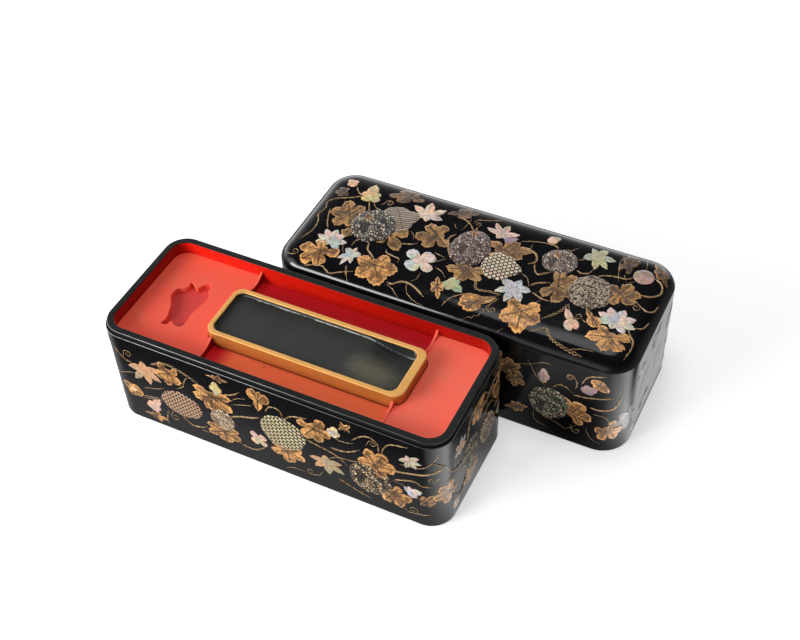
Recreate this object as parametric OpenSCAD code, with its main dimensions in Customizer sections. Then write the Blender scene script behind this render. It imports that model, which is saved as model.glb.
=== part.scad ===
// Long ink box (suzuri-bako): a lacquered box with a lift-out tray that carries
// an inkstone, and a deep cover that stands beside it.
// Millimetres, +Z up. Origin: centre of the underside of the box.

/* [Box] */
// Length of the box, along X
body_l = 225; // [215:1:260]
// Width of the box, along Y
body_w = 89; // [85:1:110]
// Height of the box wall
body_h = 72; // [55:1:90]
// Radius of the box corners, seen from above
body_r = 15; // [13:0.5:20]
// Thickness of the box wall
body_wall_t = 3.5; // [3:0.1:4]
// Thickness of the box floor
body_floor_t = 4; // [3:0.5:6]

/* [Tray] */
// Height of the black rim above the box wall
rim_h = 3; // [2:0.25:4]
// How far the rim stands back from the face of the box
rim_setback = 1.2; // [0.8:0.1:1.6]
// Thickness of the tray wall
tray_wall_t = 1.6; // [1.4:0.1:2.5]
// Play between the tray wall and the box wall
tray_play = 0.3; // [0.2:0.05:0.5]
// Depth of the decks below the top of the rim
deck_drop = 8.5; // [7:0.5:10]
// Thickness of the decks, and so the depth of the leaf-shaped well
deck_t = 4; // [3:0.5:5]
// Thickness of the tray floor
tray_floor_t = 3; // [2:0.5:4]

/* [Leaf-shaped well] */
// Distance from the tray wall to the middle of the well
leaf_from_wall = 26.6; // [24:0.2:28]
// Size of the well, as a share of the drawn outline
leaf_size = 1; // [0.8:0.05:1.1]

/* [Brush bridges] */
// Thickness of a bridge
bridge_t = 1.5; // [1.2:0.1:2.5]
// How far the ends of a bridge stand above the deck
bridge_rise = 3.6; // [3:0.2:4.5]
// Radius of the scoop that a brush lies in
scoop_r = 14; // [12:0.5:18]
// How far the scoop dips below the ends of a bridge
scoop_dip = 3.4; // [2.5:0.1:3.5]

/* [Inkstone] */
// Length of the inkstone, along X
stone_l = 128; // [115:1:140]
// Width of the inkstone, along Y
stone_w = 39.4; // [34:0.2:42]
// Height of the inkstone
stone_h = 11; // [9:0.5:13]
// Radius of the inkstone corners
stone_r = 6.5; // [5.5:0.5:8]
// Distance from the middle of the tray to the middle of the inkstone
stone_x = 11; // [5:0.5:14]
// How far each end of the inkstone reaches past the bridges, over a deck
stone_tuck = 5.5; // [4:0.5:7]
// Play all round the inkstone
stone_play = 0.4; // [0.3:0.05:0.6]
// Width of the lip along the sides and at the rubbing end
lip_side = 3; // [2.6:0.1:4.5]
// Width of the lip at the well end
lip_well = 5.5; // [4.5:0.1:7]
// Depth of the rubbing face below the lip
rub_depth = 2.6; // [2:0.1:3.5]
// Depth of the ink well below the lip
well_depth = 8; // [6:0.25:8.5]
// Length of the ink well floor
well_l = 9; // [6:0.5:14]
// Length of the slope from the rubbing face down to the well
slope_l = 26; // [18:1:36]

/* [Lid] */
// Thickness of the lid wall
lid_wall_t = 3; // [2.4:0.1:3.6]
// Play between the lid wall and the box wall
lid_play = 0.4; // [0.3:0.05:0.6]
// Height of the arris where the lid wall meets the domed top
arris_h = 70; // [60:0.5:85]
// Radius of the shoulder that rises from the arris
shoulder_r = 10; // [8.5:0.5:12]
// Rise of the top above the arris
dome_rise = 7.5; // [6.8:0.1:8]
// Lid standing beside the box: its middle, along X
lid_x = 69; // [-80:1:80]
// Lid standing beside the box: clear gap between lid and box, along Y
lid_gap = 2.6; // [1:0.2:20]

/* [Hidden] */
$fn = 96;

// cutters run this far past what they cut
over = 1;

// heights
rim_top = body_h + rim_h;
deck_top = rim_top - deck_drop;
tray_floor_top = deck_top - deck_t;
tray_bottom = tray_floor_top - tray_floor_t;
bridge_top = deck_top + bridge_rise;

// plan sizes, as insets from the face of the box
tray_inset = body_wall_t + tray_play;
inner_inset = tray_inset + tray_wall_t;
inner_l = body_l - 2 * inner_inset;
inner_w = body_w - 2 * inner_inset;

// ends of the inkstone, and the faces of the bridges that look towards the channel
stone_left = stone_x - stone_l / 2;
stone_right = stone_x + stone_l / 2;
channel_left = stone_left + stone_tuck;
channel_right = stone_right - stone_tuck;
deck_left_end = channel_left - bridge_t;
deck_right_end = channel_right + bridge_t;

// the lid covers the box with an even play
lid_l = body_l + 2 * (lid_wall_t + lid_play);
lid_w = body_w + 2 * (lid_wall_t + lid_play);
lid_r = body_r + lid_wall_t + lid_play;
lid_y = body_w / 2 + lid_gap + lid_w / 2;

// the shoulder is an arc about a line this far below the arris
shoulder_drop = shoulder_r - dome_rise;
shoulder_reach = sqrt(pow(shoulder_r, 2) - pow(shoulder_drop, 2));
// the hollow of the top follows the same centre, one wall further in
hollow_reach = shoulder_reach - lid_wall_t;
hollow_r = sqrt(pow(hollow_reach, 2) + pow(shoulder_drop, 2));
// flat steps on the shoulder, and round a corner of the dome
shoulder_steps = 8;
dome_facets = 64;

// drawn outline of the leaf-shaped well: lobe tips and the notches between them
leaf_points = [[-3, -20], [0.5, -19.5], [1.5, -16], [6, -18.5], [10, -16.5], [9.6, -6], [10.8, 1],
               [11.3, 9.5], [8.6, 14.5], [7.5, 19.5], [3.6, 18], [1, 13.5], [-4.5, 16.5], [-5, 11.5],
               [-9.6, 8.5], [-10.2, 2], [-6, -4.5], [-4, -10], [-2.5, -15]];
leaf_steps = 4;

lacquer_black = [0.06, 0.055, 0.06];
vermilion = [0.88, 0.30, 0.22];
vermilion_edge = [0.95, 0.45, 0.36];
gold = [0.86, 0.62, 0.28];

// a point on the smooth curve from b to c, with a and d as the points before and after
function curve_point(a, b, c, d, t) =
    0.5 * (2 * b + (c - a) * t + (2 * a - 5 * b + 4 * c - d) * t * t
           + (3 * b - a - 3 * c + d) * t * t * t);

// a closed smooth outline through the points
function smooth_outline(pts, steps) =
    let (n = len(pts))
    [for (i = [0 : n - 1], s = [0 : steps - 1])
        curve_point(pts[(i + n - 1) % n], pts[i], pts[(i + 1) % n], pts[(i + 2) % n], s / steps)];

// depth of the inkstone's face at share t of the slope: an S from rubbing face to well
function slope_depth(t) = rub_depth + (well_depth - rub_depth) * (1 - cos(180 * t)) / 2;

// a rectangle with true round corners
module rounded(l, w, r) {
    square([l - 2 * r, w], center = true);
    square([l, w - 2 * r], center = true);
    for (x = [-1, 1], y = [-1, 1])
        translate([x * (l / 2 - r), y * (w / 2 - r)]) circle(r);
}

// a rounded plate from height z0 to z1, inset from the face of the box
module plate(inset, z0, z1) {
    translate([0, 0, z0]) linear_extrude(z1 - z0)
        rounded(body_l - 2 * inset, body_w - 2 * inset, body_r - inset);
}

// a ring between two insets
module ring(outer, inner, z0, z1) {
    difference() {
        plate(outer, z0, z1);
        plate(inner, z0 - over, z1 + over);
    }
}

// a deck: the tray's inner outline between two x places, with the inkstone's seat cut out
module deck(x0, x1) {
    difference() {
        intersection() {
            plate(inner_inset, tray_floor_top, deck_top);
            translate([x0, -inner_w / 2, tray_floor_top]) cube([x1 - x0, inner_w, deck_t]);
        }
        translate([stone_x, 0, tray_floor_top - over]) linear_extrude(deck_t + 2 * over)
            rounded(stone_l + 2 * stone_play, stone_w + 2 * stone_play, stone_r + stone_play);
    }
}

// a bridge across one brush channel: x is its left face, side is -1 for front and 1 for back
module bridge(x, side) {
    y_stone = stone_w / 2 + stone_play;
    y_wall = inner_w / 2;
    y_mid = side * (y_stone + y_wall) / 2;
    span = y_wall - y_stone;
    translate([x, y_mid, tray_floor_top]) rotate([90, 0, 90]) linear_extrude(bridge_t)
        difference() {
            translate([-span / 2, 0]) square([span, bridge_top - tray_floor_top]);
            translate([0, bridge_top - tray_floor_top - scoop_dip + scoop_r]) circle(scoop_r);
        }
}

// half section of one corner of the dome, from its axis out to the arris
module shoulder_section(corner_r, reach, r) {
    turn = asin(reach / r);
    flat_r = corner_r - reach;
    polygon([[0, 0], for (i = [shoulder_steps : -1 : 0])
        let (a = turn * i / shoulder_steps) [flat_r + r * sin(a), r * cos(a) - shoulder_drop],
        [0, r - shoulder_drop]]);
}

// a domed plate standing on z = 0: flat middle, shoulders of radius r that reach out so far
module dome(l, w, corner_r, reach, r) {
    hull() for (x = [-1, 1], y = [-1, 1])
        translate([x * (l / 2 - corner_r), y * (w / 2 - corner_r), 0])
            rotate_extrude($fn = dome_facets) shoulder_section(corner_r, reach, r);
}

// wall of the box, black outside and vermilion inside
module box_wall() {
    color(lacquer_black) ring(0, body_wall_t, 0, body_h);
}

// floor of the box, let in between the walls
module box_floor() {
    color(vermilion) plate(body_wall_t, 0, body_floor_t);
}

// wall of the lift-out tray
module tray_wall() {
    color(vermilion) ring(tray_inset, inner_inset, tray_bottom, body_h);
}

// black rim that hangs the tray on the box wall
module tray_rim() {
    color(lacquer_black) ring(rim_setback, inner_inset, body_h, rim_top);
}

// floor of the tray, let in between its walls
module tray_floor() {
    color(vermilion) plate(inner_inset, tray_bottom, tray_floor_top);
}

// left deck, with the leaf-shaped well for the water dropper
module left_deck() {
    color(vermilion) difference() {
        deck(-inner_l / 2, deck_left_end);
        translate([-inner_l / 2 + leaf_from_wall, 0, tray_floor_top - over]) scale(leaf_size)
            linear_extrude((deck_t + 2 * over) / leaf_size) polygon(smooth_outline(leaf_points, leaf_steps));
    }
}

// right deck, with the seat of the inkstone's well end
module right_deck() {
    color(vermilion) deck(deck_right_end, inner_l / 2);
}

module left_front_bridge() {
    color(vermilion_edge) bridge(deck_left_end, -1);
}

module left_back_bridge() {
    color(vermilion_edge) bridge(deck_left_end, 1);
}

module right_front_bridge() {
    color(vermilion_edge) bridge(channel_right, -1);
}

module right_back_bridge() {
    color(vermilion_edge) bridge(channel_right, 1);
}

// inkstone: a gilt-edged slab with a rubbing face that slopes into the ink well on the right
module inkstone() {
    pool_l = stone_l - lip_side - lip_well;
    pool_w = stone_w - 2 * lip_side;
    well_start = pool_l - well_l;
    slope_start = well_start - slope_l;
    slope_steps = 8;
    face = [[0, -rub_depth], [slope_start, -rub_depth],
            for (i = [1 : slope_steps]) [slope_start + slope_l * i / slope_steps, -slope_depth(i / slope_steps)],
            [pool_l, -well_depth], [pool_l, over], [0, over]];
    color(gold) translate([stone_x, 0, tray_floor_top]) difference() {
        linear_extrude(stone_h) rounded(stone_l, stone_w, stone_r);
        translate([-stone_l / 2 + lip_side, 0, stone_h]) intersection() {
            translate([0, pool_w / 2, 0]) rotate([90, 0, 0]) linear_extrude(pool_w) polygon(face);
            translate([pool_l / 2, 0, -well_depth - over]) linear_extrude(well_depth + 2 * over)
                rounded(pool_l, pool_w, stone_r - lip_side / 2);
        }
    }
}

// wall of the lid
module lid_wall() {
    color(lacquer_black) translate([lid_x, lid_y, 0]) difference() {
        linear_extrude(arris_h) rounded(lid_l, lid_w, lid_r);
        translate([0, 0, -over]) linear_extrude(arris_h + 2 * over)
            rounded(lid_l - 2 * lid_wall_t, lid_w - 2 * lid_wall_t, lid_r - lid_wall_t);
    }
}

// domed top of the lid, hollowed to an even thickness
module lid_top() {
    color(lacquer_black) translate([lid_x, lid_y, arris_h]) difference() {
        dome(lid_l, lid_w, lid_r, shoulder_reach, shoulder_r);
        dome(lid_l - 2 * lid_wall_t, lid_w - 2 * lid_wall_t, lid_r - lid_wall_t, hollow_reach, hollow_r);
    }
}

box_wall();
box_floor();
tray_wall();
tray_rim();
tray_floor();
left_deck();
right_deck();
left_front_bridge();
left_back_bridge();
right_front_bridge();
right_back_bridge();
inkstone();
lid_wall();
lid_top();
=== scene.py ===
"""Long lacquered ink box: box, lift-out tray, gilt-edged inkstone and a domed lid standing beside it.

Sizes in the lists of leaves, melons and vines are millimetres on the surface that carries them, and UV maps
are in centimetres. All other lengths are in metres.
"""

import math
import random

import bmesh
import bpy
import numpy as np
from bpy.props import FloatProperty, FloatVectorProperty, PointerProperty
from mathutils import Matrix, Vector


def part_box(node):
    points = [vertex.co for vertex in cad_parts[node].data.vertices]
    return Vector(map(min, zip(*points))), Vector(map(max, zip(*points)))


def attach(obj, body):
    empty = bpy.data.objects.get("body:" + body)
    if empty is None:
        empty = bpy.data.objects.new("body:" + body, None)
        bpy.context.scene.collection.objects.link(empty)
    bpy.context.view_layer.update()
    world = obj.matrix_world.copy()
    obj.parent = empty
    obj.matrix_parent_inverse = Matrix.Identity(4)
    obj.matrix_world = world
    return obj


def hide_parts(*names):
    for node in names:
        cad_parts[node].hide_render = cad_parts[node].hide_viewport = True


bl_info = {
    "name": "Ink Box",
    "version": (1, 0, 0),
    "blender": (4, 5, 0),
    "location": "3D View > Sidebar > Ink Box",
    "description": "A lacquered ink box with inlaid melon vines, its tray, inkstone and lid",
    "category": "Add Mesh",
}

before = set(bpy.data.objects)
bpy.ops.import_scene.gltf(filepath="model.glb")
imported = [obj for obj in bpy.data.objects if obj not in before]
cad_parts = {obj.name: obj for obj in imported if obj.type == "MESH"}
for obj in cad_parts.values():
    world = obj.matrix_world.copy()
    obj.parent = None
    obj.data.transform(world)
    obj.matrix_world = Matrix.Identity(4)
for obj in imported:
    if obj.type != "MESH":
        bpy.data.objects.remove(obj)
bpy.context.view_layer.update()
MM = 0.001
TOUCH = 1e-6
HAIR = 1e-4
LARGE_FLOOR = 6.0

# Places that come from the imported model.
BOX_LOW, BOX_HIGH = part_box("box_wall")
RIM_LOW, RIM_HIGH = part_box("tray_rim")
TRAY_LOW, TRAY_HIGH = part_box("tray_wall")
FLOOR_LOW, FLOOR_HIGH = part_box("tray_floor")
STONE_LOW, STONE_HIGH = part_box("inkstone")
LID_LOW, LID_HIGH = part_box("lid_wall")
TOP_LOW, TOP_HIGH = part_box("lid_top")
BRIDGES = ("left_front_bridge", "left_back_bridge", "right_front_bridge", "right_back_bridge")


# ---------------------------------------------------------------- what a user would change

class InkBoxSizes(bpy.types.PropertyGroup):
    """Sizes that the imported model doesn't give by its corners."""

    def length(name, about, default):
        return FloatProperty(name=name, description=about, default=default, unit="LENGTH", precision=4)

    box_corner: length("Box corner", "Radius of the box corners, seen from above", 15 * MM)
    box_wall: length("Box wall", "Thickness of the box wall", 3.5 * MM)
    tray_wall: length("Tray wall", "Thickness of the tray wall", 1.6 * MM)
    rim_round: length("Rim rounding", "Radius of the rim's edges", 0.55 * MM)
    edge_round: length("Edge rounding", "Radius of the lacquered edges", 0.5 * MM)
    deck_round: length("Deck rounding", "Radius of the edges of decks and bridges", 0.3 * MM)
    scoop_radius: length("Scoop radius", "Radius of the scoop in a bridge's top edge", 14 * MM)
    scoop_dip: length("Scoop dip", "Depth of the scoop in a bridge's top edge", 3.4 * MM)
    stone_corner: length("Stone corner", "Radius of the inkstone's corners", 6.5 * MM)
    stone_lip: length("Stone lip", "Width of the gilt lip along the inkstone's sides", 3 * MM)
    well_lip: length("Well lip", "Width of the gilt lip at the ink well", 5.5 * MM)
    rub_depth: length("Rubbing depth", "Depth of the rubbing face below the lip", 2.6 * MM)
    well_depth: length("Well depth", "Depth of the ink well below the lip", 8 * MM)
    well_length: length("Well length", "Length of the ink well's floor", 9 * MM)
    slope_length: length("Slope length", "Length of the slope down to the well", 26 * MM)
    lip_round: length("Lip rounding", "Radius of the edges of the inkstone's lip", 0.7 * MM)
    pool_foot: length("Pool foot", "Radius where the rubbing face meets the pool's walls", 1.2 * MM)
    lid_wall: length("Lid wall", "Thickness of the lid", 3 * MM)
    mouth_round: length("Mouth rounding", "Radius of the edges of the lid's mouth", 0.9 * MM)
    shoulder: length("Lid shoulder", "Radius of the lid's shoulder", 10 * MM)
    inlay_lift: length("Inlay lift", "How far leaves stand proud of the lacquer", 0.22 * MM)
    melon_lift: length("Melon lift", "How far melons stand proud of the lacquer", 0.6 * MM)
    vine_radius: length("Vine radius", "Radius of a vine's stem", 0.22 * MM)


class InkBoxColours(bpy.types.PropertyGroup):
    """Colours of lacquer, gold, stone and shell."""

    def colour(name, about, default):
        return FloatVectorProperty(name=name, description=about, default=default, subtype="COLOR",
                                   size=3, min=0, max=1)

    black: colour("Black", "Black lacquer", (0.0042, 0.0040, 0.0052))
    rim: colour("Rim", "Satin black of the tray's rim", (0.010, 0.0115, 0.0115))
    vermilion: colour("Vermilion", "Vermilion lacquer of the walls, inside", (0.80, 0.015, 0.005))
    # The deck colour is vermilion paled by a painted sheen.
    deck: colour("Deck", "Vermilion of the decks, hazed by handling", (0.92, 0.113, 0.068))
    # The channel colour is vermilion made oranger by painted light bounced off the gilt stone.
    channel: colour("Channel", "Vermilion of the front brush channel, browned by ink", (0.98, 0.181, 0.074))
    well: colour("Dropper well", "Vermilion of the dropper's leaf-shaped well", (0.64, 0.064, 0.058))
    # Crimson stands for vermilion lying in the stone's shadow: painted shade.
    crimson: colour("Crimson", "Deeper red of the back brush channel", (0.53, 0.010, 0.016))
    gilt: colour("Gilt", "Gilding of the inkstone", (0.88, 0.46, 0.125))
    slate: colour("Slate", "Inkstone", (0.020, 0.022, 0.020))
    gold: colour("Gold", "Gold of stems and tendrils", (0.60, 0.37, 0.16))
    vein: colour("Vein", "Engraved lines in the gold", (0.035, 0.018, 0.010))


class InkBoxStudio(bpy.types.PropertyGroup):
    """Camera and lights."""

    def angle(name, about, degrees):
        return FloatProperty(name=name, description=about, default=math.radians(degrees), subtype="ANGLE")

    def power(name, about, default):
        return FloatProperty(name=name, description=about, default=default, unit="POWER")

    lens: FloatProperty(name="Lens", description="Focal length on a 36 mm sensor", default=58.28,
                        unit="CAMERA")
    azimuth: angle("Azimuth", "Turn of the camera round the object", 28.11)
    elevation: angle("Elevation", "Height of the camera above the horizon", 46.45)
    roll: angle("Roll", "Tilt of the camera about its own line of sight", -2.8)
    place: FloatVectorProperty(name="Camera place", description="Where the camera stands",
                               default=(0.2934, -0.4245, 0.6209), subtype="TRANSLATION")
    key: power("Key", "Power of the long softbox in front, on the left", 20.0)
    side: power("Side", "Power of the softbox on the left", 3.0)
    top: power("Top", "Power of the softbox overhead", 4.0)
    glow: power("Glow", "Power of the small softbox over the lid", 0.55)


# ---------------------------------------------------------------- modelling by operators

def deselect():
    """Back to object mode with nothing selected."""
    if bpy.context.object and bpy.context.object.mode != "OBJECT":
        bpy.ops.object.mode_set(mode="OBJECT")
    bpy.ops.object.select_all(action="DESELECT")


def edit(obj):
    """Opens an object in edit mode with everything selected."""
    deselect()
    obj.select_set(True)
    bpy.context.view_layer.objects.active = obj
    bpy.ops.object.mode_set(mode="EDIT")
    bpy.ops.mesh.select_all(action="SELECT")


def pick(obj, kind, test):
    """In edit mode, selects the faces, edges or vertices that pass a test."""
    bpy.ops.mesh.select_mode(type={"faces": "FACE", "edges": "EDGE", "verts": "VERT"}[kind])
    bpy.ops.mesh.select_all(action="DESELECT")
    mesh = bmesh.from_edit_mesh(obj.data)
    mesh.normal_update()
    for part in getattr(mesh, kind):
        if test(part):
            part.select_set(True)
    mesh.select_flush_mode()
    bmesh.update_edit_mesh(obj.data)


def raise_by(dz):
    bpy.ops.mesh.extrude_region_move(TRANSFORM_OT_translate={"value": (0, 0, dz)})


def inset(width, depth=0.0):
    bpy.ops.mesh.inset(thickness=width, depth=depth, use_even_offset=True)


def start_plate(name, low, high, corner, z, segments=20):
    """A flat rounded rectangle at height z that looks up, left open in edit mode."""
    deselect()
    middle = ((low[0] + high[0]) / 2, (low[1] + high[1]) / 2, z)
    bpy.ops.mesh.primitive_plane_add(size=1, location=middle)
    plate = bpy.context.object
    plate.name = plate.data.name = name
    edit(plate)
    bpy.ops.transform.resize(value=(high[0] - low[0], high[1] - low[1], 1))
    bpy.ops.mesh.bevel(offset=corner, offset_type="OFFSET", segments=segments, profile=0.5, affect="VERTICES")
    bpy.ops.mesh.select_all(action="SELECT")
    return plate


def round_edges(obj, test, radius, segments=3):
    pick(obj, "edges", test)
    bpy.ops.mesh.bevel(offset=radius, offset_type="OFFSET", segments=segments, profile=0.5, affect="EDGES")


def close_piece(obj, smooth=32):
    """Leaves edit mode with the place in the mesh, faces outwards and soft shading."""
    if obj.mode != "EDIT":
        edit(obj)
    bpy.ops.mesh.select_all(action="SELECT")
    bpy.ops.mesh.remove_doubles(threshold=TOUCH)
    bpy.ops.mesh.normals_make_consistent(inside=False)
    deselect()
    obj.select_set(True)
    bpy.context.view_layer.objects.active = obj
    bpy.ops.object.transform_apply(location=True, rotation=True, scale=True)
    bpy.ops.object.shade_smooth_by_angle(angle=math.radians(smooth))
    weight = obj.modifiers.new("Weighted", "WEIGHTED_NORMAL")
    weight.keep_sharp = True
    bpy.ops.object.modifier_apply(modifier=weight.name)
    return obj


def level(edge, z):
    return all(abs(v.co.z - z) < TOUCH for v in edge.verts)


def ring(name, low, high, corner, wall, z0, z1, top_round=0.0, foot_round=0.0):
    """A rounded rectangular ring, its top and foot edges rounded where asked."""
    obj = start_plate(name, low, high, corner, 0)
    middle = obj.location.copy()
    tall = z1 - z0
    raise_by(tall)
    pick(obj, "faces", lambda f: f.normal.z > 0.9 and f.calc_center_median().z > tall / 2)
    inset(wall)
    raise_by(-tall)
    pick(obj, "faces", lambda f: len(f.verts) > 8 and f.calc_center_median().z < tall / 2)
    bpy.ops.mesh.delete(type="FACE")
    pick(obj, "edges", lambda e: e.is_boundary)
    bpy.ops.mesh.bridge_edge_loops()
    bpy.ops.mesh.select_all(action="SELECT")
    bpy.ops.mesh.normals_make_consistent(inside=False)

    def corner_edge(edge, z):
        return level(edge, z) and len(edge.link_faces) == 2 and edge.calc_face_angle(0) > 1

    if foot_round:
        round_edges(obj, lambda e: corner_edge(e, 0), foot_round, 2)
    if top_round:
        round_edges(obj, lambda e: corner_edge(e, tall), top_round, 4)
    deselect()
    obj.location = middle + Vector((0, 0, z0))
    return close_piece(obj)


def softened(node, radius, smooth=40):
    """A copy of a CAD node with its flat faces joined and its sharp edges rounded."""
    deselect()
    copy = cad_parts[node].copy()
    copy.data = copy.data.copy()
    for key in list(copy.keys()):
        del copy[key]
    copy.parent = None
    copy.name = node + "_soft"
    bpy.context.scene.collection.objects.link(copy)
    edit(copy)
    bpy.ops.mesh.remove_doubles(threshold=2 * TOUCH)
    bpy.ops.mesh.dissolve_limited(angle_limit=math.radians(1))
    round_edges(copy, lambda e: len(e.link_faces) == 2 and e.calc_face_angle(0) > 0.9, radius, 3)
    return close_piece(copy, smooth)


def paint(obj, *materials):
    obj.data.materials.clear()
    for material in materials:
        obj.data.materials.append(material)


def paint_faces(obj, index, test):
    """Gives one of the piece's materials to the faces whose middle and normal pass a test."""
    for face in obj.data.polygons:
        if test(face.center, face.normal):
            face.material_index = index


def place(obj, body, slot, *nodes):
    """Rides the piece on its body and hides the nodes that it stands for. Its slot is not used."""
    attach(obj, body)
    if nodes:
        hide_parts(*nodes)
    return obj


# ---------------------------------------------------------------- materials

class Nodes:
    """Builds a tree of shader nodes. A socket or a plain value can feed any input."""

    def __init__(self, tree):
        self.tree = tree
        tree.nodes.clear()

    def feed(self, socket, value):
        if isinstance(value, bpy.types.NodeSocket):
            self.tree.links.new(value, socket)
        elif value is not None:
            size = len(socket.default_value) if hasattr(socket.default_value, "__len__") else 0
            socket.default_value = (*value, 1) if size == 4 and len(value) == 3 else value

    def add(self, kind, props=(), **inputs):
        node = self.tree.nodes.new("ShaderNode" + kind)
        for key, value in dict(props).items():
            setattr(node, key, value)
        for key, value in inputs.items():
            self.feed(node.inputs[key.replace("_", " ")], value)
        return node

    def math(self, operation, a, b=None, c=None):
        node = self.add("Math", {"operation": operation})
        for socket, value in zip(node.inputs, (a, b, c)):
            self.feed(socket, value)
        return node.outputs[0]

    def product(self, a, b):
        return self.math("MULTIPLY", a, b)

    def minus(self, a, b):
        return self.math("SUBTRACT", a, b)

    def vector(self, operation, a, b=None, c=None):
        node = self.add("VectorMath", {"operation": operation})
        for socket, value in zip(node.inputs, (a, b, c)):
            self.feed(socket, value)
        return node.outputs["Value" if operation in {"LENGTH", "DISTANCE"} else 0]

    def mix(self, share, a, b, blend="MIX"):
        node = self.add("Mix", {"data_type": "RGBA", "blend_type": blend})
        self.feed(node.inputs[0], share)
        self.feed(node.inputs[6], a)
        self.feed(node.inputs[7], b)
        return node.outputs[2]

    def times(self, a, b):
        """The product of two colours."""
        return self.mix(1.0, a, b, "MULTIPLY")

    def blend(self, share, a, b):
        """A mix of two plain values."""
        node = self.add("Mix")
        self.feed(node.inputs[0], share)
        self.feed(node.inputs[2], a)
        self.feed(node.inputs[3], b)
        return node.outputs[0]

    def span(self, value, low, high, to_low=0.0, to_high=1.0, smooth=True):
        node = self.add("MapRange", {"interpolation_type": "SMOOTHSTEP" if smooth else "LINEAR"},
                        Value=value, From_Min=low, From_Max=high, To_Min=to_low, To_Max=to_high)
        return node.outputs[0]

    def ramp(self, value, *stops):
        node = self.add("ValToRGB", Fac=value)
        line = node.color_ramp
        while len(line.elements) < len(stops):
            line.elements.new(0.5)
        for element, (at, tint) in zip(line.elements, stops):
            element.position = at
            element.color = (*tint, 1)
        return node.outputs[0]

    def place(self):
        return self.add("TexCoord").outputs["Object"]

    def uv(self):
        return self.add("UVMap", {"uv_map": "UVMap"}).outputs[0]

    def attribute(self, name, output="Fac"):
        return self.add("Attribute", {"attribute_name": name}).outputs[output]

    def noise(self, vector, scale, detail=3.0, roughness=0.55, output=0):
        node = self.add("TexNoise", Vector=vector, Scale=scale, Detail=detail, Roughness=roughness)
        return node.outputs[output]

    def split(self, vector):
        return self.add("SeparateXYZ", Vector=vector).outputs

    def finish_with(self, output, source):
        """Adds the output node that a source feeds."""
        self.tree.links.new(source.outputs[0], self.add(output).inputs[0])


class Shade(Nodes):
    """One Principled material."""

    def __init__(self, name, **settings):
        self.material = bpy.data.materials.new(name)
        self.material.use_nodes = True
        super().__init__(self.material.node_tree)
        self.surface = self.add("BsdfPrincipled")
        self.finish_with("OutputMaterial", self.surface)
        self.set(**settings)

    def set(self, **inputs):
        for key, value in inputs.items():
            self.feed(self.surface.inputs[key.replace("_", " ")], value)

    def bump(self, height, distance, strength=1.0):
        node = self.add("Bump", Height=height, Distance=distance, Strength=strength)
        self.set(Normal=node.outputs[0])


# Where finishes and painted light and shade change along the object, by x, and the marks that single places
# carry.
EDGE_HIGHLIGHT_FROM_TO = (-60 * MM, 70 * MM)
EDGE_HIGHLIGHT_GREY = (0.34, 0.33, 0.32)
LEFT_END_SHADE = (-107.1 * MM, -98.5 * MM)
WALL_SHADE_RAMP = (-90 * MM, 100 * MM)
SHADE_SHARE = (0.42, 0.3, 0.3)
DECK_HAZE = (0.83, 0.138, 0.085)
RIGHT_DECK = (50 * MM, 80 * MM)
RIGHT_DECK_SHEEN = (1.09, 1.38, 1.42)
CHANNEL_LEFT_SHADOW = (-42 * MM, -30 * MM)
WELL_EDGE = (-48.5 * MM, -48 * MM)
STAIN_AT = (-12 * MM, -22.5 * MM, FLOOR_HIGH.z)
GILT_SIDE_SHADE = (0.66, 0.50, 0.38)
GILT_FOOT_SHADOW = (0.16, 0.035, 0.008)
RUBBED_AT = (49.5 * MM, -5 * MM, 68 * MM)
OLIVE = (0.155, 0.145, 0.095)
HIGHLIGHT_LINE_TINT = (0.42, 0.40, 0.36)
HIGHLIGHT_LINE_OFFSET = 3.6 * MM


def scaled(colour, factor):
    return tuple(min(1.0, c * factor) for c in colour)


def polished_black(colours, name="polished_black", level=0.5):
    """Polished black lacquer: a deep clear surface with slow waves and a trace of polishing marks."""
    s = Shade(name, IOR=1.5, Specular_IOR_Level=level)
    at = s.place()
    cloud = s.noise(at, 30, 3)
    s.set(Base_Color=s.mix(cloud, scaled(colours.black, 0.8), scaled(colours.black, 1.3)))
    s.set(Roughness=s.span(s.noise(at, 220, 4), 0.35, 0.75, 0.1, 0.16))
    waves = s.math("MULTIPLY_ADD", s.noise(at, 900, 2), 0.04, s.noise(at, 45, 1))
    s.bump(waves, 0.00006)
    return s.material


def worn_edge(colours):
    """Black lacquer with a painted highlight along a rounded edge: patchy pale grey, strongest towards the
    left.
    """
    s = Shade("worn_edge", Roughness=0.35)
    at = s.place()
    x, _, _ = s.split(at)
    highlight_leftward = s.span(x, *EDGE_HIGHLIGHT_FROM_TO, 1.0, 0.15)
    # The painted highlight, fading from left to right and broken into patches.
    rubbed = s.product(highlight_leftward, s.span(s.noise(at, 90, 3), 0.35, 0.6, 0.5, 1.0))
    s.set(Base_Color=s.mix(rubbed, tuple(colours.rim), EDGE_HIGHLIGHT_GREY))
    return s.material


def shaded_red(colours):
    """Vermilion painted darker, as painted shade, for the end faces of the left bridges."""
    s = Shade("shaded_red", IOR=1.46, Specular_IOR_Level=0.2)
    at = s.place()
    return red_coat(s, at, scaled(colours.vermilion, 0.38), scaled(colours.vermilion, 0.1), 0.35)


def rim_lacquer(colours):
    """Satin black of the tray's rim, rubbed a little lighter in places."""
    s = Shade("rim_lacquer", IOR=1.5, Specular_IOR_Level=0.2)
    at = s.place()
    worn = s.noise(at, 160, 5, 0.65)
    s.set(Base_Color=s.mix(worn, scaled(colours.rim, 0.8), scaled(colours.rim, 1.25)))
    s.set(Roughness=s.span(worn, 0.3, 0.7, 0.34, 0.46))
    s.bump(s.noise(at, 1800, 2), 0.00002, 0.5)
    return s.material


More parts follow.
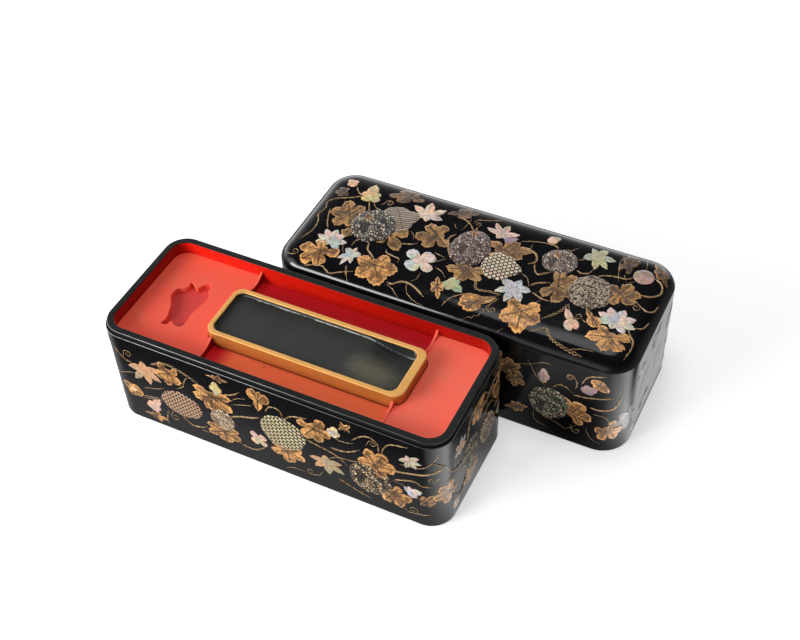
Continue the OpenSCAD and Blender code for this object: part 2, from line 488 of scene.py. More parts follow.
def red_coat(s, at, red, dark, gloss):
    """Finishes a red lacquer: a few dark specks, faint waves and a soft sheen."""
    speck = s.add("TexVoronoi", Vector=at, Scale=130).outputs["Distance"]
    few = s.math("GREATER_THAN", s.noise(at, 19, 1), 0.66)
    mark = s.product(s.span(speck, 0.05, 0.11, 1, 0), few)
    s.set(Base_Color=s.mix(s.product(mark, 0.5), red, dark))
    s.set(Roughness=s.span(s.noise(at, 140, 4), 0.3, 0.7, gloss, gloss + 0.1))
    s.bump(s.math("MULTIPLY_ADD", s.noise(at, 1500, 2), 0.05, s.noise(at, 60, 2)), 0.00006, 0.6)
    return s.material


def wall_red(colours):
    """Pure vermilion of the walls, with faint clouds, and painted shade: dark on the left end wall, and
    darker and darker towards the right.
    """
    s = Shade("wall_red", IOR=1.46, Specular_IOR_Level=0.25)
    at = s.place()
    x, _, _ = s.split(at)
    red = s.mix(s.noise(at, 24, 4, 0.6), scaled(colours.vermilion, 0.9), scaled(colours.vermilion, 1.08))
    # Painted shade: the left end wall, and the walls more and more towards the right, are darkened.
    plain = s.product(s.span(x, *LEFT_END_SHADE), s.span(x, *WALL_SHADE_RAMP, 1.0, 0.12))
    red = s.mix(plain, s.times(red, SHADE_SHARE), red)
    return red_coat(s, at, red, scaled(colours.vermilion, 0.2), 0.25)


def deck_lacquer(colours):
    """Vermilion of decks and bridges, paled by a painted sheen, with paler cloudy patches, and paler still
    towards the right deck's end as more painted sheen.
    """
    s = Shade("deck_lacquer", IOR=1.46, Specular_IOR_Level=0.35)
    at = s.place()
    cloud = s.noise(at, 24, 4, 0.6)
    red = s.mix(cloud, scaled(colours.deck, 0.93), scaled(colours.deck, 1.05))
    dull = s.span(s.noise(at, 45, 3, 0.6), 0.46, 0.7, 0, 0.55)
    red = s.mix(dull, red, DECK_HAZE)
    x, _, _ = s.split(at)
    # Painted sheen: the right deck is paler and less red.
    red = s.mix(s.span(x, *RIGHT_DECK), red, s.times(red, RIGHT_DECK_SHEEN))
    return red_coat(s, at, red, scaled(colours.deck, 0.25), 0.4)


def floor_lacquer(colours):
    """The tray's floor: oranger in front by painted light from the gilt, crimson by painted shade behind the
    stone and at the front's left end.

    The dropper's well is duller, and a small dark stain lies in the front channel.
    """
    s = Shade("floor_lacquer", IOR=1.46, Specular_IOR_Level=0.3)
    at = s.place()
    x, y, _ = s.split(at)
    cloud = s.noise(at, 40, 4, 0.6)
    front = s.mix(cloud, scaled(colours.channel, 0.88), scaled(colours.channel, 1.12))
    # Painted shadow: the front channel turns crimson at its left end.
    front = s.mix(s.span(x, *CHANNEL_LEFT_SHADOW), scaled(colours.crimson, 1.15), front)
    back = s.mix(cloud, scaled(colours.crimson, 0.9), scaled(colours.crimson, 1.1))
    # Painted shade: the back channel, behind the stone, is crimson.
    red = s.mix(s.span(y, -2 * MM, 2 * MM), front, back)
    red = s.mix(s.span(x, *WELL_EDGE), tuple(colours.well), red)
    stain = s.vector("DISTANCE", at, STAIN_AT)
    edge = s.math("MULTIPLY_ADD", s.noise(at, 900, 3), 0.003, stain)
    red = s.mix(s.span(edge, 0.0016, 0.0026, 0.7, 0), red, scaled(colours.channel, 0.15))
    return red_coat(s, at, red, scaled(colours.channel, 0.25), 0.33)


def gilt(colours):
    """Gilding laid over wood: soft gold with brush streaks along the stone and darker patches; the sides
    below the lip carry painted shade, and a painted contact shadow darkens the foot.
    """
    s = Shade("gilt", Metallic=0.25)
    at = s.place()
    long_way = s.add("Mapping", Vector=at, Scale=(0.12, 1, 1)).outputs[0]
    streak = s.noise(long_way, 420, 4, 0.6)
    patch = s.noise(at, 70, 4, 0.6)
    tint = s.mix(streak, scaled(colours.gilt, 0.86), scaled(colours.gilt, 1.12))
    tint = s.mix(s.span(patch, 0.45, 0.8, 0, 0.4), tint, scaled(colours.gilt, 0.62))
    _, _, z = s.split(at)
    lip = s.span(z, STONE_HIGH.z - 1.2 * MM, STONE_HIGH.z - 0.3 * MM)
    # Painted shade: the sides below the lip are darker and more orange than the lip.
    tint = s.mix(lip, s.times(tint, GILT_SIDE_SHADE), tint)
    # Painted contact shadow along the stone's foot.
    foot = s.span(z, STONE_LOW.z + 0.5 * MM, STONE_LOW.z + 2.6 * MM, 0.85, 0)
    s.set(Base_Color=s.mix(foot, tint, GILT_FOOT_SHADOW))
    s.set(Roughness=s.span(streak, 0.3, 0.7, 0.36, 0.5))
    s.bump(streak, 0.00004, 0.6)
    return s.material


def slate(colours):
    """Close-grained dark stone, olive on the slope to the well, with a painted highlight line along the foot
    of its back wall.
    """
    s = Shade("slate", IOR=1.5)
    at = s.place()
    cloud = s.noise(at, 55, 5, 0.62)
    grain = s.noise(at, 1300, 3, 0.6)
    tint = s.mix(cloud, scaled(colours.slate, 0.7), scaled(colours.slate, 1.5))
    flat = s.vector("MULTIPLY", s.vector("SUBTRACT", at, RUBBED_AT), (0.75, 1.0, 0.0))
    rubbed = s.math("MULTIPLY_ADD", s.noise(at, 240, 4, 0.65), 0.006, s.vector("LENGTH", flat))
    tint = s.mix(s.span(rubbed, 4 * MM, 19 * MM, 0.9, 0), tint, OLIVE)
    _, y, _ = s.split(at)
    # Painted highlight: a broken pale line along the foot of the pool's back wall.
    off_line = s.math("ABSOLUTE", s.minus(y, STONE_HIGH.y - HIGHLIGHT_LINE_OFFSET))
    patchy = s.span(s.noise(at, 110, 4, 0.7), 0.42, 0.56)
    highlight_line = s.product(s.span(off_line, 0.1 * MM, 0.45 * MM, 1, 0), patchy)
    s.set(Base_Color=s.mix(highlight_line, tint, HIGHLIGHT_LINE_TINT))
    s.set(Roughness=s.span(cloud, 0.3, 0.7, 0.4, 0.5))
    s.bump(grain, 0.00002, 0.3)
    return s.material


def sprinkled_gold(colours):
    """Sprinkled and built-up gold of the leaves: veins, fine side lines, a bright edge and gold dust.

    The UV map holds how far a point is from a vein and how far out along it it lies, in centimetres.
    """
    s = Shade("sprinkled_gold", Metallic=0.2, Coat_Weight=0.8, Coat_Roughness=0.14)
    at = s.place()
    away, along, _ = s.split(s.uv())
    tone = s.attribute("tone", "Color")
    rim = s.attribute("rim")
    cloud = s.span(s.noise(at, 150, 4, 0.7), 0.38, 0.62)
    dust = s.noise(at, 800, 4, 0.8)
    gold = s.times(tone, s.mix(cloud, (0.42, 0.35, 0.28), (1.75, 1.72, 1.65)))
    gold = s.mix(s.span(dust, 0.38, 0.54, 0.72, 0), gold, tuple(colours.vein))
    bend = s.math("MULTIPLY_ADD", away, -0.75, s.math("MULTIPLY_ADD", s.noise(at, 260, 2), 0.12, along))
    side = s.math("FRACT", s.product(bend, 7.5))
    hatch = s.span(s.math("ABSOLUTE", s.minus(side, 0.5)), 0.1, 0.28, 1, 0)
    hatch = s.product(hatch, s.span(s.noise(at, 500, 2), 0.38, 0.56, 0.1, 0.9))
    broken = s.span(s.noise(at, 380, 2), 0.3, 0.5, 0.35, 1.0)
    vein = s.product(s.span(away, 0.024, 0.075, 1, 0), broken)
    lines = s.product(s.math("MAXIMUM", vein, hatch), s.span(rim, 0.84, 0.92, 1, 0))
    drawn = s.mix(s.product(lines, 0.92), gold, tuple(colours.vein))
    bright = s.times(tone, (1.3, 1.34, 1.5))
    s.set(Base_Color=s.mix(s.span(rim, 0.90, 0.96, 0, 0.75), drawn, bright))
    s.set(Roughness=s.span(dust, 0.3, 0.7, 0.42, 0.6))
    relief = s.minus(s.product(dust, 0.4), s.product(lines, 0.6))
    s.bump(relief, 0.00012, 0.8)
    return s.material


def vine_gold(colours):
    """Gold of stems and tendrils, beaded by the brush."""
    s = Shade("vine_gold", Metallic=0.2, Coat_Weight=0.8, Coat_Roughness=0.14)
    at = s.place()
    bead = s.noise(at, 900, 2, 0.6)
    s.set(Base_Color=s.mix(s.span(bead, 0.34, 0.6), scaled(colours.gold, 0.4), scaled(colours.gold, 1.1)))
    s.set(Roughness=s.span(bead, 0.3, 0.7, 0.36, 0.5))
    s.bump(bead, 0.0002, 0.7)
    return s.material


def shell():
    """Mother-of-pearl: every piece is put together from slips of other tints, with hairline cuts."""
    s = Shade("shell", IOR=1.55, Roughness=0.3, Coat_Weight=0.8, Coat_Roughness=0.14)
    at = s.place()
    tone = s.attribute("tone", "Color")
    wander = s.vector("MULTIPLY_ADD", s.noise(at, 120, 2, 0.5, "Color"), (0.006, 0.006, 0.006), at)
    slip = s.add("TexVoronoi", Vector=wander, Scale=150)
    seam = s.add("TexVoronoi", {"feature": "DISTANCE_TO_EDGE"}, Vector=wander, Scale=150)
    pick_one, _, _ = s.split(slip.outputs["Color"])
    tint = s.ramp(pick_one, (0.0, (1.0, 1.0, 1.0)), (0.2, (1.14, 0.84, 0.78)), (0.4, (1.12, 0.98, 0.68)),
                  (0.6, (0.72, 0.92, 0.80)), (0.8, (0.76, 0.80, 0.98)), (1.0, (1.18, 0.96, 0.90)))
    sheen = s.ramp(s.noise(at, 210, 2, 0.5), (0.35, (0.86, 0.86, 0.92)), (0.5, (1, 1, 1)),
                   (0.65, (1.0, 0.93, 0.90)))
    colour = s.times(s.times(tone, tint), sheen)
    grain = s.span(s.noise(at, 420, 3, 0.7), 0.42, 0.62, 0.0, 0.75)
    colour = s.mix(grain, colour, s.times(colour, (0.62, 0.54, 0.42)))
    fleck = s.span(s.noise(at, 900, 3, 0.75), 0.57, 0.66, 0, 0.8)
    colour = s.mix(fleck, colour, (0.13, 0.115, 0.09))
    away, _, _ = s.split(s.uv())
    between = s.span(seam.outputs[0], 0.01, 0.045, 0.45, 0)
    cut = s.math("MAXIMUM", s.span(away, 0.006, 0.025, 0.55, 0), between)
    s.set(Base_Color=s.mix(cut, colour, (0.2, 0.17, 0.15)))
    s.bump(s.minus(s.noise(at, 300, 3), cut), 0.0001, 0.6)
    return s.material


def fragments(name, cell, tints, grout, gap):
    """A melon filled with broken shell: irregular pieces, each of its own tint, set in dark lacquer."""
    s = Shade(name, Metallic=0.1, IOR=1.55)
    uv = s.uv()
    scale = 10 / cell
    edge = s.add("TexVoronoi", {"feature": "DISTANCE_TO_EDGE"}, Vector=uv, Scale=scale, Randomness=0.85)
    piece = s.add("TexVoronoi", Vector=uv, Scale=scale, Randomness=0.85)
    shade, light, _ = s.split(piece.outputs["Color"])
    stops = [(i / (len(tints) - 1), tint) for i, tint in enumerate(tints)]
    colour = s.mix(s.span(light, 0, 1, 0.0, 0.35), s.ramp(shade, *stops), (0.95, 0.92, 0.85), "MULTIPLY")
    s.set(Base_Color=s.mix(s.span(edge.outputs[0], gap * 0.6, gap * 1.5, 1, 0), colour, grout))
    s.set(Roughness=s.span(shade, 0, 1, 0.2, 0.45))
    s.bump(s.math("MULTIPLY_ADD", shade, 0.4, s.span(edge.outputs[0], 0, gap * 1.5)), 0.0002, 0.7)
    return s.material


def squares(name, cell, tint_a, tint_b, grout, turn, stretch, gap):
    """A melon paved with small rows of shell, or netted with fine gold lines."""
    s = Shade(name, Metallic=0.25, IOR=1.55, Roughness=0.3)
    uv = s.add("Mapping", Vector=s.uv(), Rotation=(0, 0, math.radians(turn))).outputs[0]
    brick = s.add("TexBrick", {"offset": 0.5}, Vector=uv, Color1=(*tint_a, 1), Color2=(*tint_b, 1),
                  Mortar=(*grout, 1), Scale=1.0, Mortar_Size=gap * cell / 10 / 2, Mortar_Smooth=0.2,
                  Bias=0.0, Brick_Width=cell * stretch / 10, Row_Height=cell / 10)
    tint = s.ramp(s.noise(uv, 1.6, 4, 0.75), (0.34, (1, 0.88, 0.86)), (0.5, (1, 1, 0.96)),
                  (0.64, (0.86, 1, 0.86)))
    s.set(Base_Color=s.times(brick.outputs[0], tint))
    s.set(Roughness=s.span(brick.outputs[1], 0, 1, 0.25, 0.45))
    s.bump(s.minus(1.0, brick.outputs[1]), 0.00025, 0.8)
    return s.material


# Gold of the bands, and the dark and the light shell between them.
PLAID_TINTS = ((0.44, 0.29, 0.17), (0.012, 0.014, 0.013), (0.60, 0.50, 0.38))
PLAID_TURN = math.radians(12)


def plaid():
    """A melon with gold bands crossing over small dark and light shell."""
    gold, dark, light = PLAID_TINTS
    s = Shade("gold_plaid", Metallic=0.4, IOR=1.55)
    uv = s.add("Mapping", Vector=s.uv(), Rotation=(0, 0, PLAID_TURN)).outputs[0]
    x, y, _ = s.split(uv)
    mosaic = s.add("TexVoronoi", Vector=uv, Scale=11.0)
    shade, _, _ = s.split(mosaic.outputs["Color"])
    fill = s.ramp(shade, (0.0, dark), (0.58, dark), (0.72, light), (1.0, light))

    def band(value, pitch, width):
        part = s.math("FRACT", s.math("DIVIDE", value, pitch))
        return s.span(s.math("ABSOLUTE", s.minus(part, 0.5)), width, width + 0.06, 1, 0)

    long_band = s.math("MAXIMUM", band(y, 0.42, 0.02), band(s.math("ADD", y, 0.12), 0.42, 0.01))
    cross = s.product(band(x, 0.3, 0.02), 0.7)
    bands = s.math("MAXIMUM", long_band, cross)
    s.set(Base_Color=s.mix(bands, fill, gold), Roughness=0.38)
    s.bump(s.math("MULTIPLY_ADD", shade, 0.3, bands), 0.00025, 0.7)
    return s.material


# ---------------------------------------------------------------- surfaces that carry the inlay

# The shoulder's arc gives way, at this slope, to a gentle rise towards the middle of the lid.
KNEE = math.radians(44)
SLOW_RISE = 0.7 * MM
SLOW_REACH = 7 * MM


class DomedTop:
    """The lid's domed top. Points are given from its middle: x along the lid, y towards its back."""

    def __init__(self, low, high, corner, shoulder, z_arris, z_top):
        self.middle = (np.array(low[:2]) + np.array(high[:2])) / 2
        self.half = (np.array(high[:2]) - np.array(low[:2])) / 2
        self.corner = corner
        self.shoulder = shoulder
        self.z_arris = z_arris
        self.z_top = z_top
        self.drop = shoulder - (z_top - z_arris)
        self.reach = math.sqrt(shoulder ** 2 - self.drop ** 2)
        arc = shoulder * math.sin(KNEE)
        rise = shoulder * math.cos(KNEE)
        self.knee = self.reach - arc
        left = z_top - (z_arris - self.drop + rise)
        self.quick = left - SLOW_RISE
        self.quick_reach = self.quick / (math.tan(KNEE) - SLOW_RISE / SLOW_REACH)

    def height(self, depth):
        """Height of the surface and its slope, at a distance in from the arris."""
        arc = np.clip(self.reach - depth, self.reach - self.knee, self.reach)
        rise = np.sqrt(self.shoulder ** 2 - arc ** 2)
        past = np.maximum(depth - self.knee, 0)
        quick = self.quick * np.exp(-past / self.quick_reach)
        slow = SLOW_RISE * np.exp(-past / SLOW_REACH)
        on_arc = depth < self.knee
        z = np.where(on_arc, self.z_arris - self.drop + rise, self.z_top - quick - slow)
        tilt = np.where(on_arc, arc / rise, quick / self.quick_reach + slow / SLOW_REACH)
        return z, tilt

    def at(self, x, y, lift):
        inner = self.half - self.corner
        qx, qy = np.abs(x) - inner[0], np.abs(y) - inner[1]
        out_x, out_y = np.maximum(qx, 0), np.maximum(qy, 0)
        away = np.hypot(out_x, out_y)
        in_corner = (qx > 0) & (qy > 0)
        depth = self.corner - np.where(in_corner, away, np.maximum(qx, qy))
        safe = np.maximum(away, 1e-9)
        nx = np.where(in_corner, out_x / safe, (qx > qy) * 1.0) * np.sign(x)
        ny = np.where(in_corner, out_y / safe, (qx <= qy) * 1.0) * np.sign(y)
        z, tilt = self.height(depth)
        steep = 1 / np.sqrt(1 + tilt ** 2)
        return np.stack([self.middle[0] + x + nx * tilt * steep * lift,
                         self.middle[1] + y + ny * tilt * steep * lift,
                         z + steep * lift], axis=-1)


class RoundedWall:
    """A wall with round corners. A point is given by how far round it lies, and its height.

    Side 0 is the front, 1 the right end, 2 the back and 3 the left end; u starts at a side's middle.
    """

    def __init__(self, low, high, corner, side=0):
        self.middle = (np.array(low[:2]) + np.array(high[:2])) / 2
        self.straight = (np.array(high[:2]) - np.array(low[:2])) / 2 - corner
        self.corner = corner
        self.foot = low[2]
        self.start = side * (self.straight.sum() + corner * math.pi / 2)

    def at(self, u, z, lift):
        a, b = self.straight
        arc = self.corner * math.pi / 2
        around = np.mod(u + self.start, 4 * (a + b + arc))
        half_turn = around >= 2 * (a + b + arc)
        s = np.where(half_turn, around - 2 * (a + b + arc), around)
        px = np.empty_like(s)
        py = np.empty_like(s)
        turn = np.empty_like(s)
        stretches = ((0, a, -90, 0), (a, arc, -90, 90), (a + arc, 2 * b, 0, 0),
                     (a + arc + 2 * b, arc, 0, 90), (a + 2 * arc + 2 * b, a, 90, 0))
        for index, (begin, size, heading, bend) in enumerate(stretches):
            part = (s >= begin) & (s <= begin + size)
            t = (s[part] - begin) / size
            angle = np.radians(heading + bend * t)
            turn[part] = angle
            corner_y = -b if index < 2 else b
            if index == 0:
                px[part], py[part] = s[part], -b - self.corner
            elif index == 2:
                px[part], py[part] = a + self.corner, -b + 2 * b * t
            elif index == 4:
                px[part], py[part] = a - a * t, b + self.corner
            else:
                px[part] = a + self.corner * np.cos(angle)
                py[part] = corner_y + self.corner * np.sin(angle)
        px = px + np.cos(turn) * lift
        py = py + np.sin(turn) * lift
        sign = np.where(half_turn, -1, 1)
        return np.stack([self.middle[0] + sign * px, self.middle[1] + sign * py,
                         self.foot + z + np.zeros_like(px)], axis=-1)


# ---------------------------------------------------------------- outlines of leaves, shell and melons

# A lobe is (turn from the tip in degrees, length, bluntness); a high bluntness gives a full round lobe.
# "notch" is how deep the outline falls back between lobes, as a share of their length. A "round" shape is a
# bunch of discs instead, and its third number is a disc's radius as a share of its distance from the middle.
SHAPES = {
    "vine_leaf": {"lobes": ((0, 1, 0.5), (58, 0.97, 0.48), (-58, 0.97, 0.48), (120, 0.84, 0.46),
                            (-120, 0.84, 0.46)),
                  "notch": 0.40, "teeth": 0.05, "round": True},
    "broad_leaf": {"lobes": ((0, 1, 0.6), (62, 0.95, 0.58), (-62, 0.95, 0.58), (124, 0.78, 0.55),
                             (-124, 0.78, 0.55)),
                   "notch": 0.46, "teeth": 0.05, "round": True},
    "trefoil": {"lobes": ((0, 1, 0.55), (78, 0.94, 0.55), (-78, 0.94, 0.55)),
                "notch": 0.32, "teeth": 0.05, "round": True},
    "long_leaf": {"lobes": ((0, 1, 1.5), (42, 0.55, 2), (-42, 0.55, 2), (138, 0.5, 2), (-138, 0.5, 2),
                            (180, 0.85, 1.5)),
                  "notch": 0.75, "teeth": 0.1},
    "star_leaf": {"lobes": ((0, 1, 1.25), (46, 0.96, 1.2), (-46, 0.96, 1.2), (98, 0.8, 1.2), (-98, 0.8, 1.2),
                            (180, 0.55, 0.8)),
                  "notch": 0.52, "teeth": 0.06},
    "many_leaf": {"lobes": ((0, 1, 1.5), (38, 0.94, 1.5), (-38, 0.94, 1.5), (78, 0.86, 1.5), (-78, 0.86, 1.5),
                            (125, 0.8, 1.5), (-125, 0.8, 1.5), (180, 0.5, 1)),
                  "notch": 0.66, "teeth": 0.05},
    "petals": {"lobes": ((0, 1, 3), (88, 1, 3), (180, 0.95, 3), (-92, 0.85, 3)),
               "notch": 0.36, "teeth": 0.05},
    "flower": {"lobes": ((0, 1, 1.2), (70, 0.7, 1.4), (-70, 0.7, 1.4), (180, 0.95, 1.2), (128, 0.5, 1.5),
                         (-128, 0.5, 1.5)),
               "notch": 0.45, "teeth": 0.05},
    "trumpet": {"lobes": ((-24, 0.9, 2.2), (24, 0.86, 2.2), (180, 1.1, 0.6)),
                "notch": 0.72, "side_notch": 0.24, "teeth": 0.04},
    "fan": {"lobes": ((0, 1, 2.4), (30, 1, 2.4), (-30, 1, 2.4), (180, 1, 0.6)),
            "notch": 0.85, "side_notch": 0.3, "teeth": 0.05},
    "bud": {"lobes": ((0, 1, 1.1), (90, 0.62, 2.4), (-90, 0.62, 2.4), (180, 0.75, 2.6)),
            "notch": 0.9, "teeth": 0.02},
    "drop": {"lobes": ((0, 1.1, 0.9), (75, 0.5, 2), (-75, 0.5, 2), (145, 0.62, 3), (-145, 0.62, 3)),
             "notch": 0.8, "teeth": 0.06},
    "disc": {"lobes": ((0, 1, 8), (90, 1, 8), (180, 1, 8), (-90, 1, 8)),
             "notch": 0.96, "teeth": 0.0, "loose": 0.4},
    "melon": {"lobes": tuple((k * 45, 1, 2) for k in range(8)), "notch": 0.97, "teeth": 0.0, "loose": 0.3},
    "gourd": {"lobes": ((0, 1.22, 1.0), (65, 0.86, 2.4), (-65, 0.86, 2.4), (125, 0.95, 3), (-125, 0.95, 3),
                        (180, 0.98, 3)),
              "notch": 0.97, "teeth": 0.0, "loose": 0.3},
}
LEAF_SIDES = 168
MELON_SIDES = 96
TOOTH_TURN = 15


def outline(shape, angle, hand):
    """Radius of a shape's outline at each angle in degrees, and the turn from the nearest lobe's middle."""
    facts = SHAPES[shape]
    loose = facts.get("loose", 1.0)

    def vary(less, more):
        return hand.uniform(1 - less * loose, 1 + more * loose)

    lobes = sorted(((a + hand.uniform(-5, 5) * loose) % 360, length * vary(0.09, 0.07), blunt)
                   for a, length, blunt in facts["lobes"])
    if "round" in facts:
        return bunch(facts, lobes, angle, hand)
    starts = np.array([a for a, _, _ in lobes])
    radius = np.zeros_like(angle)
    turn = np.zeros_like(angle)
    order = np.searchsorted(starts, np.mod(angle, 360), side="right") - 1
    for index in range(-1, len(lobes)):
        here = order == index
        if not here.any():
            continue
        a0, long0, blunt0 = lobes[index]
        a1, long1, blunt1 = lobes[(index + 1) % len(lobes)]
        gap = (a1 - a0) % 360
        t = np.mod(angle[here] - a0, 360) / gap
        deep = facts["notch"] * vary(0.12, 0.1)
        if "side_notch" in facts and gap > 90:
            deep = facts["side_notch"]
        low = deep * min(long0, long1)
        near = np.where(t < 0.5, 2 * t, 2 - 2 * t)
        long_here = np.where(t < 0.5, long0, long1)
        blunt_here = np.where(t < 0.5, blunt0, blunt1)
        radius[here] = low + (long_here - low) * (1 - near ** blunt_here)
        turn[here] = near * gap / 2
    scallop = np.abs(np.cos(np.pi * turn / TOOTH_TURN))
    return radius * (1 - facts["teeth"] * (1 - scallop)), turn


def bunch(facts, lobes, angle, hand):
    """Outline and turn, as in outline(), of a leaf whose lobes are discs with uneven edges."""
    radius = np.full_like(angle, facts["notch"] * min(length for _, length, _ in lobes))
    turn = np.full_like(angle, 180.0)
    for at, length, share in lobes:
        off = (angle - at + 180) % 360 - 180
        middle = length / (1 + share)
        across = middle * np.sin(np.radians(off))
        under = np.maximum((share * middle) ** 2 - across ** 2, 0)
        reach = np.where((under > 0) & (abs(off) < 90), middle * np.cos(np.radians(off)) + np.sqrt(under), 0)
        radius = np.maximum(radius, reach)
        turn = np.minimum(turn, abs(off))
    for waves in (5, 11, 19, 31):
        swell = hand.uniform(0.2, 0.6) * facts["teeth"]
        radius = radius * (1 + swell * np.sin(np.radians(angle * waves + hand.uniform(0, 360))))
    return radius, turn


# Radii of the inset rings, as shares of the blank's radius; how deep a piece is sunk in the lacquer; and half
# the width of the groove along a leaf's midribs.
LEAF_RINGS = (1, 0.985, 0.965, 0.93, 0.86, 0.76, 0.64, 0.5, 0.36, 0.22, 0.1)
MELON_RINGS = (1, 0.985, 0.96, 0.92, 0.85, 0.74, 0.6, 0.44, 0.26, 0.1)
UNDERSIDE_RINGS = (1, 0.75, 0.5, 0.25)
SUNK = 0.25 * MM
GROOVE = 0.28 * MM


def start_blank(name, sides, rings):
    """A round blank with inset rings on its top face, out of which inlay pieces are cut."""
    deselect()
    bpy.ops.mesh.primitive_cylinder_add(vertices=sides, radius=1, depth=1, end_fill_type="NGON")
    blank = bpy.context.object
    blank.name = blank.data.name = name
    edit(blank)
    for side, steps in ((1, rings), (-1, UNDERSIDE_RINGS)):
        pick(blank, "faces", lambda f: f.normal.z * side > 0.9)
        for outer, inner in zip(steps, steps[1:]):
            inset(outer - inner)
        bpy.ops.mesh.poke()
    deselect()
    return blank


def corners_of(mesh):
    """The mesh's points as rows of x, y and z."""
    co = np.empty(len(mesh.vertices) * 3)
    mesh.vertices.foreach_get("co", co)
    return co.reshape(-1, 3)


def cut_shape(blank, shape, length, width, lift, domed, hand):
    """A copy of the blank cut to a shape that fills length by width, with its relief, UV map and rim.

    Its tip points along +X. Heights and sizes are in metres.
    """
    mesh = blank.data.copy()
    co = corners_of(mesh)
    share = np.hypot(co[:, 0], co[:, 1])
    share = np.minimum(share, 1)
    angle = np.degrees(np.arctan2(co[:, 1], co[:, 0]))
    radius, turn = outline(shape, angle, hand)
    x = share * radius * np.cos(np.radians(angle))
    y = share * radius * np.sin(np.radians(angle))
    low = np.array([x.min(), y.min()])
    high = np.array([x.max(), y.max()])
    grow = np.array([length, width]) / (high - low)
    x = (x - (low[0] + high[0]) / 2) * grow[0]
    y = (y - (low[1] + high[1]) / 2) * grow[1]
    out = share * radius * math.sqrt(grow[0] * grow[1])
    away = out * np.sin(np.radians(np.minimum(turn, 90)))
    along = out * np.cos(np.radians(np.minimum(turn, 90)))
    if domed:
        height = lift * (0.3 * (1 - share ** 12) + 0.7 * np.sqrt(np.clip(1 - share ** 2, 0, 1)))
    else:
        groove = np.exp(-(away / GROOVE) ** 2) * np.clip(share * 6, 0, 1)
        puff = np.sin(np.clip(away / np.maximum(out, 1e-9), 0, 1) * math.pi) * share
        height = lift * (1 - share ** 14) * (0.82 + 0.25 * puff - 0.38 * groove)
    z = np.where(co[:, 2] > 0, height, -SUNK)
    mesh.vertices.foreach_set("co", np.stack([x, y, z], axis=1).ravel())
    corner = np.empty(len(mesh.loops), int)
    mesh.loops.foreach_get("vertex_index", corner)
    uv = np.stack([x, y] if domed else [away, along], axis=1) / (10 * MM)
    layer = mesh.uv_layers.get("UVMap") or mesh.uv_layers.new(name="UVMap")
    layer.data.foreach_set("uv", uv[corner].ravel().astype(np.float32))
    rim = mesh.attributes.new("rim", "FLOAT", "POINT")
    rim.data.foreach_set("value", share.astype(np.float32))
    return mesh


def lay(mesh, surface, x, y, turn, over):
    """Wraps a cut shape onto a surface, turned about its middle and raised over what lies under it."""
    co = corners_of(mesh)
    c, s = math.cos(math.radians(turn)), math.sin(math.radians(turn))
    on_x = x + co[:, 0] * c - co[:, 1] * s
    on_y = y + co[:, 0] * s + co[:, 1] * c
    lift = np.where(co[:, 2] > 0, co[:, 2] + over, co[:, 2])
    mesh.vertices.foreach_set("co", surface.at(on_x, on_y, lift).ravel())
    mesh.update()


def join_pieces(name, objects):
    """Joins laid pieces into one object, which keeps all their finishes."""
    deselect()
    for obj in objects:
        obj.select_set(True)
    bpy.context.view_layer.objects.active = objects[0]
    if len(objects) > 1:
        bpy.ops.object.join()
    joined = objects[0]
    joined.name = joined.data.name = name
    bpy.ops.object.shade_smooth_by_angle(angle=math.radians(50))
    return joined


def inlay(name, blank, entries, lift, domed=False):
    """Cuts and lays every entry, and joins them as one piece.

    An entry is (surface, shape, x, y, length, width, turn, finish, tone, over).
    """
    made = []
    hand = random.Random(name)
    for surface, shape, x, y, length, width, turn, finish, tone, over in entries:
        mesh = cut_shape(blank, shape, length * MM, width * MM, lift, domed, hand)
        lay(mesh, surface, x * MM, y * MM, turn, over * MM)
        layer = mesh.attributes.new("tone", "FLOAT_COLOR", "POINT")
        layer.data.foreach_set("color", np.tile((*tone, 1.0), len(mesh.vertices)))
        obj = bpy.data.objects.new(name, mesh)
        bpy.context.scene.collection.objects.link(obj)
        paint(obj, finish)
        made.append(obj)
    return join_pieces(name, made)


# ---------------------------------------------------------------- vines

VINE_STEP = 0.8 * MM
TAPER_START = 2 * MM
TAPER_END = 4 * MM
THINNEST = 0.35
STRAND_RISE = 0.16 * MM


def smooth_route(points, steps=10):
    """Points on the smooth curve through a list of places."""
    p = np.array(points, float)
    p = np.vstack([2 * p[0] - p[1], p, 2 * p[-1] - p[-2]])
    route = []
    for a, b, c, d in zip(p, p[1:], p[2:], p[3:]):
        for t in np.arange(steps) / steps:
            route.append(0.5 * (2 * b + (c - a) * t + (2 * a - 5 * b + 4 * c - d) * t * t
                                + (3 * b - a - 3 * c + d) * t ** 3))
    route.append(p[-2])
    return np.array(route)


def add_curl(route, radius, turns):
    """Continues a route with a spiral that winds inwards, to the left for positive turns."""
    heading = math.atan2(*(route[-1] - route[-2])[::-1])
    side = math.copysign(math.pi / 2, turns)
    middle = route[-1] + radius * np.array([math.cos(heading + side), math.sin(heading + side)])
    steps = int(abs(turns) * 24)
    t = np.arange(1, steps + 1) / steps
    angle = heading - side + t * turns * 2 * math.pi
    shrink = radius * (1 - 0.78 * t)
    return np.vstack([route, middle + np.stack([np.cos(angle), np.sin(angle)], axis=1) * shrink[:, None]])


def even_route(route, step):
    """The same route with its points a step apart, and how far along each lies."""
    run = np.concatenate([[0], np.cumsum(np.hypot(*np.diff(route, axis=0).T))])
    count = max(4, int(round(run[-1] / step)))
    at = np.linspace(0, run[-1], count)
    return np.stack([np.interp(at, run, route[:, k]) for k in (0, 1)], axis=1), at


